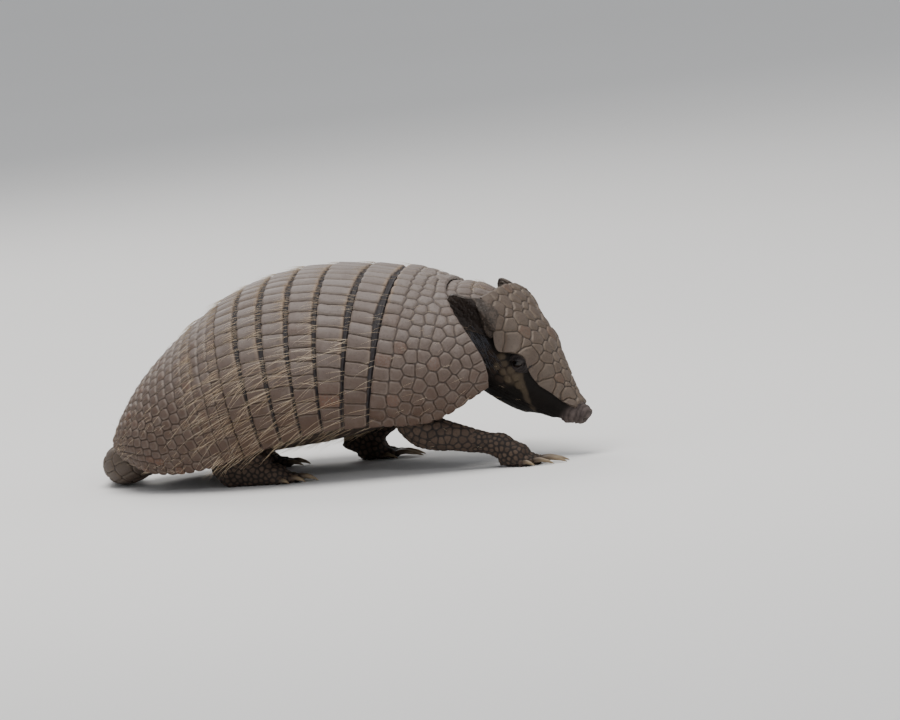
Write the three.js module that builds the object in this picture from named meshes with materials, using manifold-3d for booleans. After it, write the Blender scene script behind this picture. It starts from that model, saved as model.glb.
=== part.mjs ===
// A six-banded armadillo, life size: it walks with its head lowered and its tail laid round to its left.
// Millimetres. +X points forward, +Y to the animal's left and +Z up, and the floor is Z = 0.
import * as THREE from "three";
import { mergeVertices } from "three/addons/utils/BufferGeometryUtils.js";
import Module from "manifold-3d";

const wasm = await Module();
wasm.setup();

// Driving dimensions.
const gap = 0.35; // clearance between neighbouring pieces
const shellThickness = 4.2;
const bandStep = 1.5; // each plated piece's front edge lies this much lower than its rear edge
const rimTuck = 0.1; // share of the half width by which the shell's rim turns in
const widestAt = 0.28; // the shell is widest at this share of its height above the rim
const shellRoundness = 2.25; // exponent of the shell's cross-section: 2 is an ellipse
const bandCount = 6;

// The shell from the neck to the tail: its ridge, its rim, its half width and how far its side bows forward.
const shellStations = [
  { ridgeX: 281, ridgeZ: 143, rimX: 315, rimZ: 61, halfWidth: 74, bow: 9 }, // edge at the neck
  { ridgeX: 264, ridgeZ: 149.5, rimX: 272, rimZ: 40, halfWidth: 85, bow: 4 },
  { ridgeX: 246, ridgeZ: 154, rimX: 221, rimZ: 40, halfWidth: 90, bow: 0 }, // front of band 1
  { ridgeX: 189, ridgeZ: 160, rimX: 187, rimZ: 40, halfWidth: 95, bow: 0 }, // front of band 3
  { ridgeX: 141, ridgeZ: 155, rimX: 154, rimZ: 34, halfWidth: 95, bow: 0 }, // front of band 5
  { ridgeX: 100, ridgeZ: 140, rimX: 123, rimZ: 25, halfWidth: 92, bow: 0 }, // front of the pelvic shield
  { ridgeX: 65, ridgeZ: 116, rimX: 97, rimZ: 18, halfWidth: 86, bow: 0 },
  { ridgeX: 33, ridgeZ: 86, rimX: 69, rimZ: 13.5, halfWidth: 74, bow: 0 },
  { ridgeX: 13, ridgeZ: 58, rimX: 40, rimZ: 14.5, halfWidth: 56, bow: 0 },
  { ridgeX: 4, ridgeZ: 40, rimX: 14, rimZ: 25, halfWidth: 31, bow: 0 }, // edge over the tail
];
const lastStation = shellStations.length - 1;
const firstBandAt = 2; // station where band 1 starts
const pelvicAt = 5; // station where the pelvic shield starts
const bellyZ = [66, 46, 34, 27, 23, 21, 20, 18, 20, 25]; // the belly's lowest line at each station
const bellyWidth = 0.86; // share of the skin's width under the shell that the belly keeps

// The head in its own frame: +x from the nape to the snout, +z out of the forehead.
const headPose = { at: [320, -8, 134], yaw: -13, pitch: 52, roll: 6 }; // degrees; the nape's place
const headStations = [
  { x: 3, top: -5, bottom: -58, halfWidth: 27 }, // back of the skull
  { x: 20, top: -3, bottom: -67, halfWidth: 32.5 },
  { x: 42, top: -2, bottom: -68, halfWidth: 33 }, // cheeks
  { x: 62, top: -3, bottom: -63.5, halfWidth: 28 },
  { x: 80, top: -7, bottom: -56, halfWidth: 20 },
  { x: 94, top: -10, bottom: -44, halfWidth: 14 },
  { x: 105, top: -12.5, bottom: -35, halfWidth: 11 },
  { x: 113, top: -13.5, bottom: -31, halfWidth: 10 }, // nose pad
  { x: 118.5, top: -14, bottom: -29, halfWidth: 9.2 },
  { x: 122.5, top: -16.5, bottom: -26, halfWidth: 7 },
];
// The shield over the forehead: its edge hangs by drop, more steeply the higher its bend.
const headShieldStations = [
  { x: 0, top: 0, halfWidth: 27, drop: 5, bend: 2.2 },
  { x: 12, top: 1.5, halfWidth: 33.5, drop: 5, bend: 2.4 }, // in front of the ears
  { x: 24, top: 2.5, halfWidth: 36, drop: 9, bend: 2.8 },
  { x: 33, top: 2.5, halfWidth: 36.5, drop: 18, bend: 3.4 },
  { x: 42, top: 2, halfWidth: 35.5, drop: 21.5, bend: 3.8 }, // temple plates behind the eyes
  { x: 50, top: 1.5, halfWidth: 32.5, drop: 13.5, bend: 3.3 },
  { x: 58, top: 0.5, halfWidth: 29, drop: 10, bend: 3 }, // over the eyes
  { x: 74, top: -3, halfWidth: 23, drop: 11.5, bend: 3 },
  { x: 88, top: -7, halfWidth: 17, drop: 10.5, bend: 3 },
  { x: 100, top: -10.2, halfWidth: 13, drop: 6, bend: 2.6 },
  { x: 110, top: -12, halfWidth: 9.5, drop: 2.5, bend: 2.2 },
];
const headShieldThickness = 2.6;
const mouthLine = [[140, -33], [110, -34], [96, -36], [78, -41], [60, -47], [44, -52], [30, -90]]; // snout to jaw
const eye = { x: 57, y: 28.2, z: -17.6, radius: 5.3 };
// An ear from its base to its tip, in the head's frame and for the left side; facing points out of its cup.
const ears = {
  right: { base: [25, 33, -19], tip: [-12, 49, -13], facing: [0.3, 0.9, -0.05] },
  left: { base: [25, 33, -19], tip: [-10, 46, -23], facing: [0.3, 0.9, -0.05] },
};
// Its outline from base to tip, as distances behind and in front of its axis, and how deep it is cupped.
const earOutline = [
  { along: 0, behind: 4, ahead: 9, cup: 4 },
  { along: 9, behind: 7, ahead: 12, cup: 6 },
  { along: 19, behind: 8, ahead: 11, cup: 6 },
  { along: 29, behind: 7, ahead: 9.5, cup: 4.5 },
  { along: 36, behind: 4.5, ahead: 6, cup: 2 },
  { along: 40, behind: 0.8, ahead: 1.6, cup: 0.3 },
];
const earThickness = 1.9;

// The neck's and the tail's stations: centre, half width across, half height.
const neckStations = [
  { at: [262, 0, 99], across: 76, high: 48 },
  { at: [283, -1, 97], across: 61, high: 43 },
  { at: [301, -4, 95], across: 42, high: 39 },
  { at: [317, -7, 93], across: 28, high: 32 },
];
const nuchalBand = { x: 298, z: 99, across: 38, high: 39.5, length: 15, thickness: 3.2, reach: 62, lean: 10 };
const tailStations = [
  { at: [42, -5, 33], radius: 15 },
  { at: [24, -1, 24.5], radius: 16.5 },
  { at: [9, 7, 18.5], radius: 16.3 },
  { at: [1, 22, 15.6], radius: 15 },
  { at: [-3, 41, 13.2], radius: 13 },
  { at: [-8, 66, 11], radius: 10.8 },
  { at: [-12, 92, 8.6], radius: 8.5 },
  { at: [-12, 118, 6.4], radius: 6.3 },
  { at: [-8, 142, 4.3], radius: 4.2 },
  { at: [-1, 162, 2.4], radius: 2.3 },
];
const tailPieces = [["tail_ring_1", 0.7, 2], ["tail_ring_2", 2, 2.8], ["tail_ring_3", 2.8, 3.6],
  ["tail_shaft", 3.6, 7], ["tail_tip", 7, 9]]; // name, first and last station

// Legs: joints from the body outwards, each with its radius, then the foot.
const legs = [
  {
    name: "right_fore", side: -1, parts: ["right_upper_arm", "right_forearm", "right_forefoot"],
    joints: [{ at: [238, -48, 66], radius: 19 }, { at: [260, -60, 33], radius: 14.5 },
      { at: [287, -61, 25], radius: 10.4 }, { at: [319, -60, 17.5], radius: 8.8 }],
    foot: { heel: [315, -60, 13.5], toes: [335, -61, 7.5], halfWidth: 12, thickness: 6.5, claws: "fore" },
  },
  {
    name: "left_fore", side: 1, parts: ["left_upper_arm", "left_forearm", "left_forefoot"],
    joints: [{ at: [226, 48, 64], radius: 19 }, { at: [207, 61, 36], radius: 14.5 },
      { at: [194, 61, 25], radius: 11 }, { at: [181, 60, 14.5], radius: 8.8 }],
    foot: { heel: [178, 60, 12], toes: [199, 61, 7.5], halfWidth: 12, thickness: 6.5, claws: "fore" },
  },
  {
    name: "right_hind", side: -1, parts: ["right_thigh", "right_shank", "right_hind_foot"],
    joints: [{ at: [96, -36, 58], radius: 25 }, { at: [130, -56, 34], radius: 18 },
      { at: [115, -55, 24], radius: 13 }, { at: [100, -52, 14], radius: 9.5 }],
    foot: { heel: [97, -51, 11], toes: [144, -55, 7], halfWidth: 11.5, thickness: 6.5, claws: "hind" },
  },
  {
    name: "left_hind", side: 1, parts: ["left_thigh", "left_shank", "left_hind_foot"],
    joints: [{ at: [84, 36, 56], radius: 25 }, { at: [112, 55, 34], radius: 18 },
      { at: [92, 53, 24], radius: 13 }, { at: [70, 48, 14], radius: 9.5 }],
    foot: { heel: [67, 47, 11], toes: [114, 52, 7], halfWidth: 11.5, thickness: 6.5, claws: "hind" },
  },
];
// Toes from the inner to the outer: place across the foot, length of toe and claw, radius and spread in degrees.
const toeSets = {
  fore: [
    { across: -0.95, back: 8, toe: 9, claw: 12, radius: 3.4, spread: -22 },
    { across: -0.5, back: 2, toe: 13, claw: 21, radius: 4.1, spread: -8 },
    { across: 0.02, back: 0, toe: 13, claw: 19, radius: 4.2, spread: 0 },
    { across: 0.52, back: 3, toe: 11, claw: 16, radius: 4, spread: 8 },
    { across: 1, back: 8, toe: 9, claw: 10, radius: 3.4, spread: 21 },
  ],
  hind: [
    { across: -0.98, back: 9, toe: 9, claw: 8, radius: 3.3, spread: -16 },
    { across: -0.5, back: 3, toe: 13, claw: 12, radius: 4, spread: -5 },
    { across: 0.02, back: 0, toe: 14, claw: 13, radius: 4.2, spread: 0 },
    { across: 0.52, back: 4, toe: 12, claw: 11, radius: 4, spread: 6 },
    { across: 1.02, back: 9, toe: 9, claw: 8, radius: 3.3, spread: 18 },
  ],
};

const colours = {
  shell: 0x8d7d70, skin: 0x5a4c44, headPlates: 0x8a7b68, eye: 0x0c0908,
  ear: 0x4a3c33, claw: 0xb09a7c, tail: 0x84715f,
};

const radians = THREE.MathUtils.degToRad;
const clamp = THREE.MathUtils.clamp;

// Catmull-Rom value of a list of numbers at station u.
function smoothAt(values, u) {
  const last = values.length - 1;
  const i = clamp(Math.floor(u), 0, last - 1);
  const t = u - i;
  const [b, c] = [values[i], values[i + 1]];
  const a = i > 0 ? values[i - 1] : 2 * b - c;
  const d = i < last - 1 ? values[i + 2] : 2 * c - b;
  return b + 0.5 * t * (c - a + t * (2 * a - 5 * b + 4 * c - d + t * (3 * (b - c) + d - a)));
}

// Every numeric field of a list of stations at station u.
function stationAt(stations, u) {
  const found = {};
  for (const key of Object.keys(stations[0]))
    if (typeof stations[0][key] === "number") found[key] = smoothAt(stations.map((s) => s[key]), u);
  return found;
}

// Station whose x is the one asked for, in a list sorted by rising x.
function stationOfX(stations, x) {
  let i = 0;
  while (i < stations.length - 2 && stations[i + 1].x < x) i += 1;
  return i + (x - stations[i].x) / (stations[i + 1].x - stations[i].x);
}

function signedPower(value, exponent) {
  return Math.sign(value) * Math.abs(value) ** exponent;
}

// A point of the shell's outer surface. Station u runs from the neck to the tail. Round a runs from the right
// rim, -1, over the ridge, 0, to the left rim, 1.
function shellSurface(u, a) {
  const s = stationAt(shellStations, u);
  const ridgeShare = 0.72; // share of the way round at which the shell is widest
  const r = Math.abs(a) / ridgeShare;
  let across, height;
  if (r <= 1) {
    const angle = (r * Math.PI) / 2;
    across = Math.sin(angle) ** (2 / shellRoundness);
    height = widestAt + (1 - widestAt) * Math.cos(angle) ** (2 / shellRoundness);
  } else {
    const t = (Math.abs(a) - ridgeShare) / (1 - ridgeShare);
    across = 1 - rimTuck * t * t;
    height = widestAt * (1 - t);
  }
  const bowed = s.bow * 6.75 * height * (1 - height) ** 2;
  return new THREE.Vector3(
    s.rimX + (s.ridgeX - s.rimX) * height + bowed,
    Math.sign(a) * s.halfWidth * across,
    s.rimZ + (s.ridgeZ - s.rimZ) * height,
  );
}

// The shell's surface moved inwards by inset, along its normal.
function shellPoint(u, a, inset = 0) {
  const step = 0.01;
  const [u0, u1] = [Math.max(0, u - step), Math.min(lastStation, u + step)];
  const [a0, a1] = [Math.max(-1, a - step), Math.min(1, a + step)];
  const along = shellSurface(u1, a).sub(shellSurface(u0, a));
  const round = shellSurface(u, a1).sub(shellSurface(u, a0));
  const inwards = along.cross(round).normalize();
  const here = shellSurface(u, a);
  const middle = new THREE.Vector3(here.x, 0, stationAt(shellStations, u).rimZ);
  if (inwards.dot(middle.sub(here)) < 0) inwards.negate();
  return here.addScaledVector(inwards, inset);
}

// Turns points and triangles into a closed solid of the boolean library, faces outwards.
function solidFrom(points, triangles) {
  const volume = triangles.reduce((sum, [a, b, c]) =>
    sum + points[a].dot(new THREE.Vector3().crossVectors(points[b], points[c])), 0);
  const facing = volume < 0 ? triangles.map(([a, b, c]) => [a, c, b]) : triangles;
  return new wasm.Manifold(new wasm.Mesh({
    numProp: 3,
    vertProperties: new Float32Array(points.flatMap((p) => [p.x, p.y, p.z])),
    triVerts: new Uint32Array(facing.flat()),
  }));
}

// A three.js geometry as a closed solid of the boolean library.
function solidOfGeometry(geometry) {
  const bare = geometry.clone();
  bare.deleteAttribute("normal");
  bare.deleteAttribute("uv");
  const merged = mergeVertices(bare, 1e-4);
  return new wasm.Manifold(new wasm.Mesh({
    numProp: 3,
    vertProperties: merged.attributes.position.array,
    triVerts: new Uint32Array(merged.index.array),
  }));
}

// A solid through rings of equal length, with a fan over each end.
function solidThroughRings(rings) {
  const n = rings[0].length;
  const points = rings.flat();
  const triangles = [];
  for (let i = 0; i < rings.length - 1; i += 1)
    for (let j = 0; j < n; j += 1) {
      const [a, b, c, d] = [i * n + j, i * n + (j + 1) % n, (i + 1) * n + j, (i + 1) * n + (j + 1) % n];
      triangles.push([a, b, d], [a, d, c]);
    }
  for (const [ring, start, turn] of [[rings[0], 0, true], [rings.at(-1), (rings.length - 1) * n, false]]) {
    const centre = points.length;
    points.push(ring.reduce((sum, p) => sum.add(p), new THREE.Vector3()).divideScalar(n));
    for (let j = 0; j < n; j += 1) {
      const [a, b] = [start + j, start + (j + 1) % n];
      triangles.push(turn ? [centre, b, a] : [centre, a, b]);
    }
  }
  return solidFrom(points, triangles);
}

// A closed plate between two grids of points: top[i][j] and under[i][j].
function plateSolid(top, under) {
  const [rows, columns] = [top.length, top[0].length];
  const points = [...top.flat(), ...under.flat()];
  const at = (layer, i, j) => layer * rows * columns + i * columns + j;
  const triangles = [];
  const quad = (a, b, c, d) => triangles.push([a, b, c], [a, c, d]);
  for (let i = 0; i < rows - 1; i += 1)
    for (let j = 0; j < columns - 1; j += 1) {
      quad(at(0, i, j), at(0, i + 1, j), at(0, i + 1, j + 1), at(0, i, j + 1));
      quad(at(1, i, j), at(1, i, j + 1), at(1, i + 1, j + 1), at(1, i + 1, j));
    }
  for (let i = 0; i < rows - 1; i += 1) {
    quad(at(0, i, 0), at(1, i, 0), at(1, i + 1, 0), at(0, i + 1, 0));
    quad(at(0, i, columns - 1), at(0, i + 1, columns - 1), at(1, i + 1, columns - 1), at(1, i, columns - 1));
  }
  for (let j = 0; j < columns - 1; j += 1) {
    quad(at(0, 0, j), at(0, 0, j + 1), at(1, 0, j + 1), at(1, 0, j));
    quad(at(0, rows - 1, j), at(1, rows - 1, j), at(1, rows - 1, j + 1), at(0, rows - 1, j + 1));
  }
  return solidFrom(points, triangles);
}

function range(count, from, to) {
  return Array.from({ length: count + 1 }, (_, i) => from + ((to - from) * i) / count);
}

const around = range(20, -1, 1); // the shell's facets from rim to rim

// One plated piece of the shell, between two stations.
function shellPiece(u0, u1, steps) {
  const [from, to] = [u0 + (u0 > 0 ? 0.01 : 0), u1 - (u1 < lastStation ? 0.01 : 0)];
  const rows = range(steps, from, to);
  const top = rows.map((u) => around.map((a) => shellPoint(u, a, (bandStep * (to - u)) / (to - from))));
  const under = rows.map((u) => around.map((a) => shellPoint(u, a, shellThickness)));
  return plateSolid(top, under);
}

// The body inside the shell, closed below by the belly. Grow moves its skin outwards, for cutting.
function trunkSolid(grow = 0) {
  const inShell = around.filter((a, i) => i % 2 === 0).slice(1, -1); // it leaves the shell's face above the rim
  const rings = shellRows.filter((u, i) => i % 2 === 1).map((u) => {
    const over = inShell.map((a) => shellPoint(u, a, shellThickness + 2 * gap - grow));
    const [right, left] = [over[0], over.at(-1)];
    const drop = left.z - smoothAt(bellyZ, u) + grow;
    const under = range(7, 0, Math.PI).slice(1, -1).map((angle) => new THREE.Vector3(left.x,
      left.y * (bellyWidth + (1 - bellyWidth) * Math.abs(Math.cos(angle))) * signedPower(Math.cos(angle), 0.85),
      left.z - drop * Math.sin(angle) ** 0.8));
    return [...over, ...under];
  });
  return solidThroughRings(rings);
}

// A tapered tube along a path: stations hold at, and radius or across and high. A capped tube ends in a ball.
function tubeSolid(stations, options = {}) {
  const last = stations.length - 1;
  const { sides = 12, grow = 0, from = 0, to = last, steps = 4, roundness = 2, capped = false } = options;
  const place = (u) => new THREE.Vector3(...[0, 1, 2].map((k) => smoothAt(stations.map((s) => s.at[k]), u)));
  const ringAt = (u, forward = 0, share = 1) => {
    const ahead = place(Math.min(last, u + 0.02)).sub(place(Math.max(0, u - 0.02))).normalize();
    const guide = Math.abs(ahead.z) > 0.9 ? new THREE.Vector3(1, 0, 0) : new THREE.Vector3(0, 0, 1);
    const side = new THREE.Vector3().crossVectors(guide, ahead).normalize();
    const up = new THREE.Vector3().crossVectors(ahead, side);
    const size = stationAt(stations, u);
    const [across, high] = [(size.across ?? size.radius) + grow, (size.high ?? size.radius) + grow];
    const here = place(u).addScaledVector(ahead, forward * across);
    return range(sides, 0, 2 * Math.PI).slice(0, -1).map((angle) => here.clone()
      .addScaledVector(side, share * across * signedPower(Math.cos(angle), 2 / roundness))
      .addScaledVector(up, share * high * signedPower(Math.sin(angle), 2 / roundness)));
  };
  const rings = range(steps, from, to).map((u) => ringAt(u));
  if (capped) rings.push(ringAt(to, 0.5, 0.87), ringAt(to, 0.85, 0.5));
  return solidThroughRings(rings);
}

function boxSolid(low, high) {
  const size = high.map((h, i) => h - low[i]);
  const box = new THREE.BoxGeometry(...size);
  box.translate(...low.map((l, i) => l + size[i] / 2));
  return solidOfGeometry(box);
}

const belowFloor = boxSolid([-400, -400, -100], [600, 400, 0]);

// The head's own frame in the body's frame.
const headMatrix = new THREE.Matrix4().makeTranslation(...headPose.at)
  .multiply(new THREE.Matrix4().makeRotationZ(radians(headPose.yaw)))
  .multiply(new THREE.Matrix4().makeRotationY(radians(headPose.pitch)))
  .multiply(new THREE.Matrix4().makeRotationX(radians(headPose.roll)));
const placeHead = (solid) => solid.transform(headMatrix.elements);

// The skin of the head, from the nape to the snout: rounded sections, narrower towards the forehead.
function headSolid(grow = 0) {
  const sides = 16;
  const rings = range(10, 0, headStations.length - 1).map((u) => {
    const s = stationAt(headStations, u);
    const [middle, half] = [(s.top + s.bottom) / 2, (s.top - s.bottom) / 2 + grow];
    return range(sides, 0, 2 * Math.PI).slice(0, -1).map((angle) => {
      const high = signedPower(Math.sin(angle), 0.85);
      const narrowing = 1 - 0.12 * high * high - (high < 0 ? 0.16 * high * high : 0);
      return new THREE.Vector3(s.x, (s.halfWidth * narrowing + grow) * signedPower(Math.cos(angle), 0.8),
        middle + half * high);
    });
  });
  return solidThroughRings(rings);
}

// The plate over the forehead, between two depths below its outer face.
function headShieldSolid(outer, inner, margin = 0) {
  const last = headShieldStations.length - 1;
  const rows = range(last, 0, last);
  const across = range(8, -1, 1).map((t) => Math.sin((t * Math.PI) / 2)); // closer together at the edges
  const layer = (depth) => rows.map((u) => {
    const s = stationAt(headShieldStations, u);
    const forward = u === 0 ? -margin : u === last ? margin : 0;
    return across.map((t) => {
      const slope = (s.drop * s.bend * Math.abs(t) ** (s.bend - 1)) / s.halfWidth;
      const length = Math.hypot(1, slope);
      const wide = t * s.halfWidth - (Math.sign(t) * depth * slope) / length;
      const below = Math.abs(t) === 1 ? margin : 0;
      return new THREE.Vector3(s.x + forward, wide + Math.sign(t) * below / length,
        s.top - s.drop * Math.abs(t) ** s.bend - depth / length - (below * slope) / length);
    });
  });
  return plateSolid(layer(outer), layer(inner));
}

// The wedge below the line of the mouth, moved up by grow.
function belowMouth(grow = 0) {
  const line = mouthLine.map(([x, z]) => new THREE.Vector2(x - (z < -60 ? grow : 0), z + grow));
  const outline = new THREE.Shape([...line, new THREE.Vector2(140, -90)]);
  const wedge = new THREE.ExtrudeGeometry(outline, { depth: 120, bevelEnabled: false });
  wedge.rotateX(Math.PI / 2);
  wedge.translate(0, 60, 0);
  return solidOfGeometry(wedge);
}

// A cupped leaf: the ear, open outwards. Grow thickens it, for cutting.
function earSolid(word, grow = 0) {
  const placed = ([x, y, z]) => new THREE.Vector3(x, word === "left" ? y : -y, z);
  const [base, tip, facing] = [placed(ears[word].base), placed(ears[word].tip), placed(ears[word].facing)];
  const along = tip.clone().sub(base).normalize();
  const out = facing.addScaledVector(along, -facing.dot(along)).normalize();
  const ahead = new THREE.Vector3().crossVectors(along, out);
  if (ahead.dot(new THREE.Vector3(0.5, 0, 1)) < 0) ahead.negate();
  const last = earOutline.length - 1;
  const layer = (depth) => range(7, 0, last).map((u) => {
    const s = stationAt(earOutline, u);
    const reach = s.along + (u === 0 ? -grow : u === last ? grow : 0);
    return range(6, -1, 1).map((t) => {
      const wide = t < 0 ? s.behind : s.ahead;
      return base.clone().addScaledVector(along, reach)
        .addScaledVector(ahead, (wide + grow) * Math.sin((t * Math.PI) / 2))
        .addScaledVector(out, s.cup * t * t - depth);
    });
  });
  return plateSolid(layer(-grow), layer(earThickness + grow));
}

function sphereSolid(radius, x, y, z) {
  const ball = new THREE.SphereGeometry(radius, 12, 6);
  ball.translate(x, y, z);
  return solidOfGeometry(ball);
}

// The arched row of plates on the nape.
function nuchalSolid(grow = 0) {
  const n = nuchalBand;
  const reach = n.reach + 2 * grow;
  const layer = (depth, push) => [-0.5, 0, 0.5].map((share) => range(12, -reach, reach).map((degrees) => {
    const angle = radians(degrees);
    const [across, high] = [n.across - depth, n.high - depth];
    return new THREE.Vector3(n.x + share * (n.length + push) + n.lean * (1 - Math.cos(angle)),
      -4 + across * Math.sin(angle), n.z + high * Math.cos(angle) - 2 * share);
  }));
  return plateSolid(layer(-grow, 2 * grow), layer(n.thickness + grow, 2 * grow));
}

// A foot: the sole with its toes, flat below, and the stations of each claw. Toes point from the heel forward.
function footSolids(foot, side, name) {
  const [heel, toes] = [new THREE.Vector3(...foot.heel), new THREE.Vector3(...foot.toes)];
  const forward = toes.clone().sub(heel).setZ(0).normalize();
  const outer = new THREE.Vector3(0, side, 0).addScaledVector(forward, -side * forward.y).normalize();
  const flat = 0.8; // how far the sole would reach below the floor
  const solePoint = (share, width, top) => ({
    at: heel.clone().lerp(toes, share).setZ((top - flat) / 2).toArray(), across: width, high: (top + flat) / 2,
  });
  const width = foot.halfWidth;
  let sole = tubeSolid([solePoint(-0.08, width * 0.4, 1.3 * heel.z), solePoint(0.05, width * 0.7, 2 * heel.z),
    solePoint(0.5, width * 0.84, heel.z + toes.z),
    solePoint(0.9, width, 2.2 * toes.z), solePoint(1.04, width * 0.6, 1.7 * toes.z)], { sides: 8, steps: 4 });
  const claws = [];
  toeSets[foot.claws].forEach((toe, i) => {
    const ahead = forward.clone().addScaledVector(outer, Math.tan(radians(toe.spread))).normalize();
    const root = toes.clone().addScaledVector(outer, toe.across * width * 0.8).addScaledVector(ahead, -toe.back);
    const step = (distance, height, radius) => ({
      at: root.clone().addScaledVector(ahead, distance).setZ(height).toArray(), radius,
    });
    const r = toe.radius;
    sole = sole.add(tubeSolid([step(-3, r + 1, r * 0.9), step(toe.toe * 0.45, r + 0.4, r),
      step(toe.toe, r * 0.9 - flat / 2, r * 0.9), step(toe.toe + 2, r * 0.8, r * 0.5)], { sides: 5, steps: 2 }));
    claws.push([`${name}_claw_${i + 1}`, [step(toe.toe + 2 + 2 * gap, r * 0.8, r * 0.5),
      step(toe.toe + toe.claw * 0.5, r * 0.9, r * 0.45), step(toe.toe + toe.claw, 0.75, 0.5)]]);
  });
  return { sole: sole.subtract(belowFloor), claws };
}

// The rows of the shell's facets: its pieces' edges and the rows between them.
const bandSpan = (pelvicAt - firstBandAt) / bandCount;
const scapularRows = range(4, 0, firstBandAt);
const pelvicRows = range(6, pelvicAt, lastStation);
const shellRows = [...scapularRows, ...range(bandCount, firstBandAt, pelvicAt).slice(1, -1), ...pelvicRows];

const group = new THREE.Group();

function addSolid(name, solid, colour, roughness = 0.8) {
  const mesh = solid.getMesh();
  const geometry = new THREE.BufferGeometry();
  geometry.setAttribute("position", new THREE.BufferAttribute(mesh.vertProperties, 3));
  geometry.setIndex(new THREE.BufferAttribute(mesh.triVerts, 1));
  geometry.computeVertexNormals();
  const material = new THREE.MeshStandardMaterial({ color: colour, roughness, metalness: 0 });
  const part = new THREE.Mesh(geometry, material);
  part.name = name;
  group.add(part);
}

// The largest body of a solid: a cut can leave slivers behind.
function largest(solid) {
  return solid.decompose().reduce((best, body) => (body.volume() > best.volume() ? body : best));
}

// Shell.
addSolid("scapular_shield", shellPiece(0, firstBandAt, scapularRows.length - 1), colours.shell);
for (let i = 0; i < bandCount; i += 1) {
  const front = firstBandAt + i * bandSpan;
  addSolid(`band_${i + 1}`, shellPiece(front, front + bandSpan, 1), colours.shell);
}
addSolid("pelvic_shield", shellPiece(pelvicAt, lastStation, pelvicRows.length - 1), colours.shell);
// The shell's wall with its clearance, for cutting what passes near it.
const shellWall = plateSolid(shellRows.map((u) => around.map((a) => shellPoint(u, a, -gap))),
  shellRows.map((u) => around.map((a) => shellPoint(u, a, shellThickness + gap))));

// The scapular shield's wall and all that lies outside it, starting just in front of its edge.
const besideShoulders = [-30, shellThickness + gap].map((inset) => [-0.02, 0.5, 1, 1.5, 2].map((u) =>
  around.filter((a, i) => i % 2 === 0).map((a) => shellPoint(u, a, inset))));

// Head.
const wholeHead = headSolid();
const shieldSpace = headShieldSolid(-12, headShieldThickness + gap, gap);
const eyes = [-1, 1].map((side) => sphereSolid(eye.radius, eye.x, side * eye.y, eye.z));
const eyeSpaces = [-1, 1].map((side) => sphereSolid(eye.radius + gap, eye.x, side * eye.y, eye.z));
const earSpaces = ["right", "left"].map((word) => earSolid(word, gap));
let skull = wholeHead.subtract(shieldSpace).subtract(belowMouth(gap));
for (const space of [...eyeSpaces, ...earSpaces]) skull = skull.subtract(space);
const jaw = wholeHead.intersect(belowMouth());
const headSpace = placeHead(headSolid(gap));

const nuchal = nuchalSolid();
const nuchalSpace = nuchalSolid(gap);
addSolid("head", largest(placeHead(skull).subtract(nuchalSpace)), colours.skin);
addSolid("lower_jaw", largest(placeHead(jaw).subtract(trunkSolid(gap))), colours.skin);
addSolid("head_shield", placeHead(headShieldSolid(0, headShieldThickness)), colours.headPlates);
["right", "left"].forEach((word, i) => {
  addSolid(`${word}_eye`, placeHead(eyes[i]), colours.eye, 0.1);
  addSolid(`${word}_ear`, largest(placeHead(earSolid(word).subtract(shieldSpace))), colours.ear);
});

// Neck and trunk.
const earsPlaced = earSpaces.map(placeHead);
let neck = tubeSolid(neckStations, { sides: 12, steps: 3, roundness: 2.2 });
for (const space of [headSpace, trunkSolid(gap), plateSolid(...besideShoulders), nuchalSpace, placeHead(shieldSpace), ...earsPlaced])
  neck = neck.subtract(space);
addSolid("neck", largest(neck), colours.skin);
addSolid("nuchal_band", largest(nuchal.subtract(placeHead(shieldSpace))),
  colours.shell);

// Tail: three armoured rings, a shaft and a tip.
const tailRoot = tubeSolid(tailStations, { sides: 12, grow: gap, from: 0.68, to: 3, steps: 5 });
let trunk = trunkSolid().subtract(headSpace).subtract(tailRoot).subtract(belowFloor);
for (const [name, from, to] of tailPieces) {
  const steps = Math.ceil((to - from) * 2);
  const piece = tubeSolid(tailStations, { sides: 12, from: from + 0.01, to: to - 0.01, steps });
  addSolid(name, largest(piece.subtract(belowFloor).subtract(shellWall)), colours.tail);
}

// Legs.
const trunkSpace = trunkSolid(gap);
for (const leg of legs) {
  const [upperName, lowerName, footName] = leg.parts;
  const [upperJoints, lowerJoints] = [leg.joints.slice(0, 2), leg.joints.slice(1)];
  const upperOptions = { sides: 12, steps: 1, capped: true };
  const lowerOptions = { sides: 10, steps: 4 };
  const { sole, claws } = footSolids(leg.foot, leg.side, leg.name);
  const upper = tubeSolid(upperJoints, upperOptions);
  const upperSpace = tubeSolid(upperJoints, { ...upperOptions, grow: gap });
  const lower = tubeSolid(lowerJoints, lowerOptions).subtract(upperSpace);
  const lowerSpace = tubeSolid(lowerJoints, { ...lowerOptions, grow: gap });
  const foot = sole.subtract(lowerSpace).subtract(upperSpace);
  for (const [clawName, stations] of claws)
    addSolid(clawName, tubeSolid(stations, { sides: 5, steps: 2 }).subtract(belowFloor), colours.claw, 0.5);
  const fit = (solid) => largest(solid.subtract(shellWall).subtract(belowFloor));
  addSolid(upperName, fit(upper), colours.skin);
  addSolid(lowerName, fit(lower.subtract(trunkSpace)), colours.skin);
  addSolid(footName, fit(foot.subtract(trunkSpace)), colours.skin);
  trunk = trunk.subtract(upperSpace);
}
addSolid("trunk", largest(trunk), colours.skin);

// The origin goes to the floor, below the middle of the animal's box.
const box = new THREE.Box3().setFromObject(group);
const middle = box.getCenter(new THREE.Vector3());
group.children.forEach((part) => part.geometry.translate(-middle.x, -middle.y, -box.min.z));

export default group;
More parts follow.
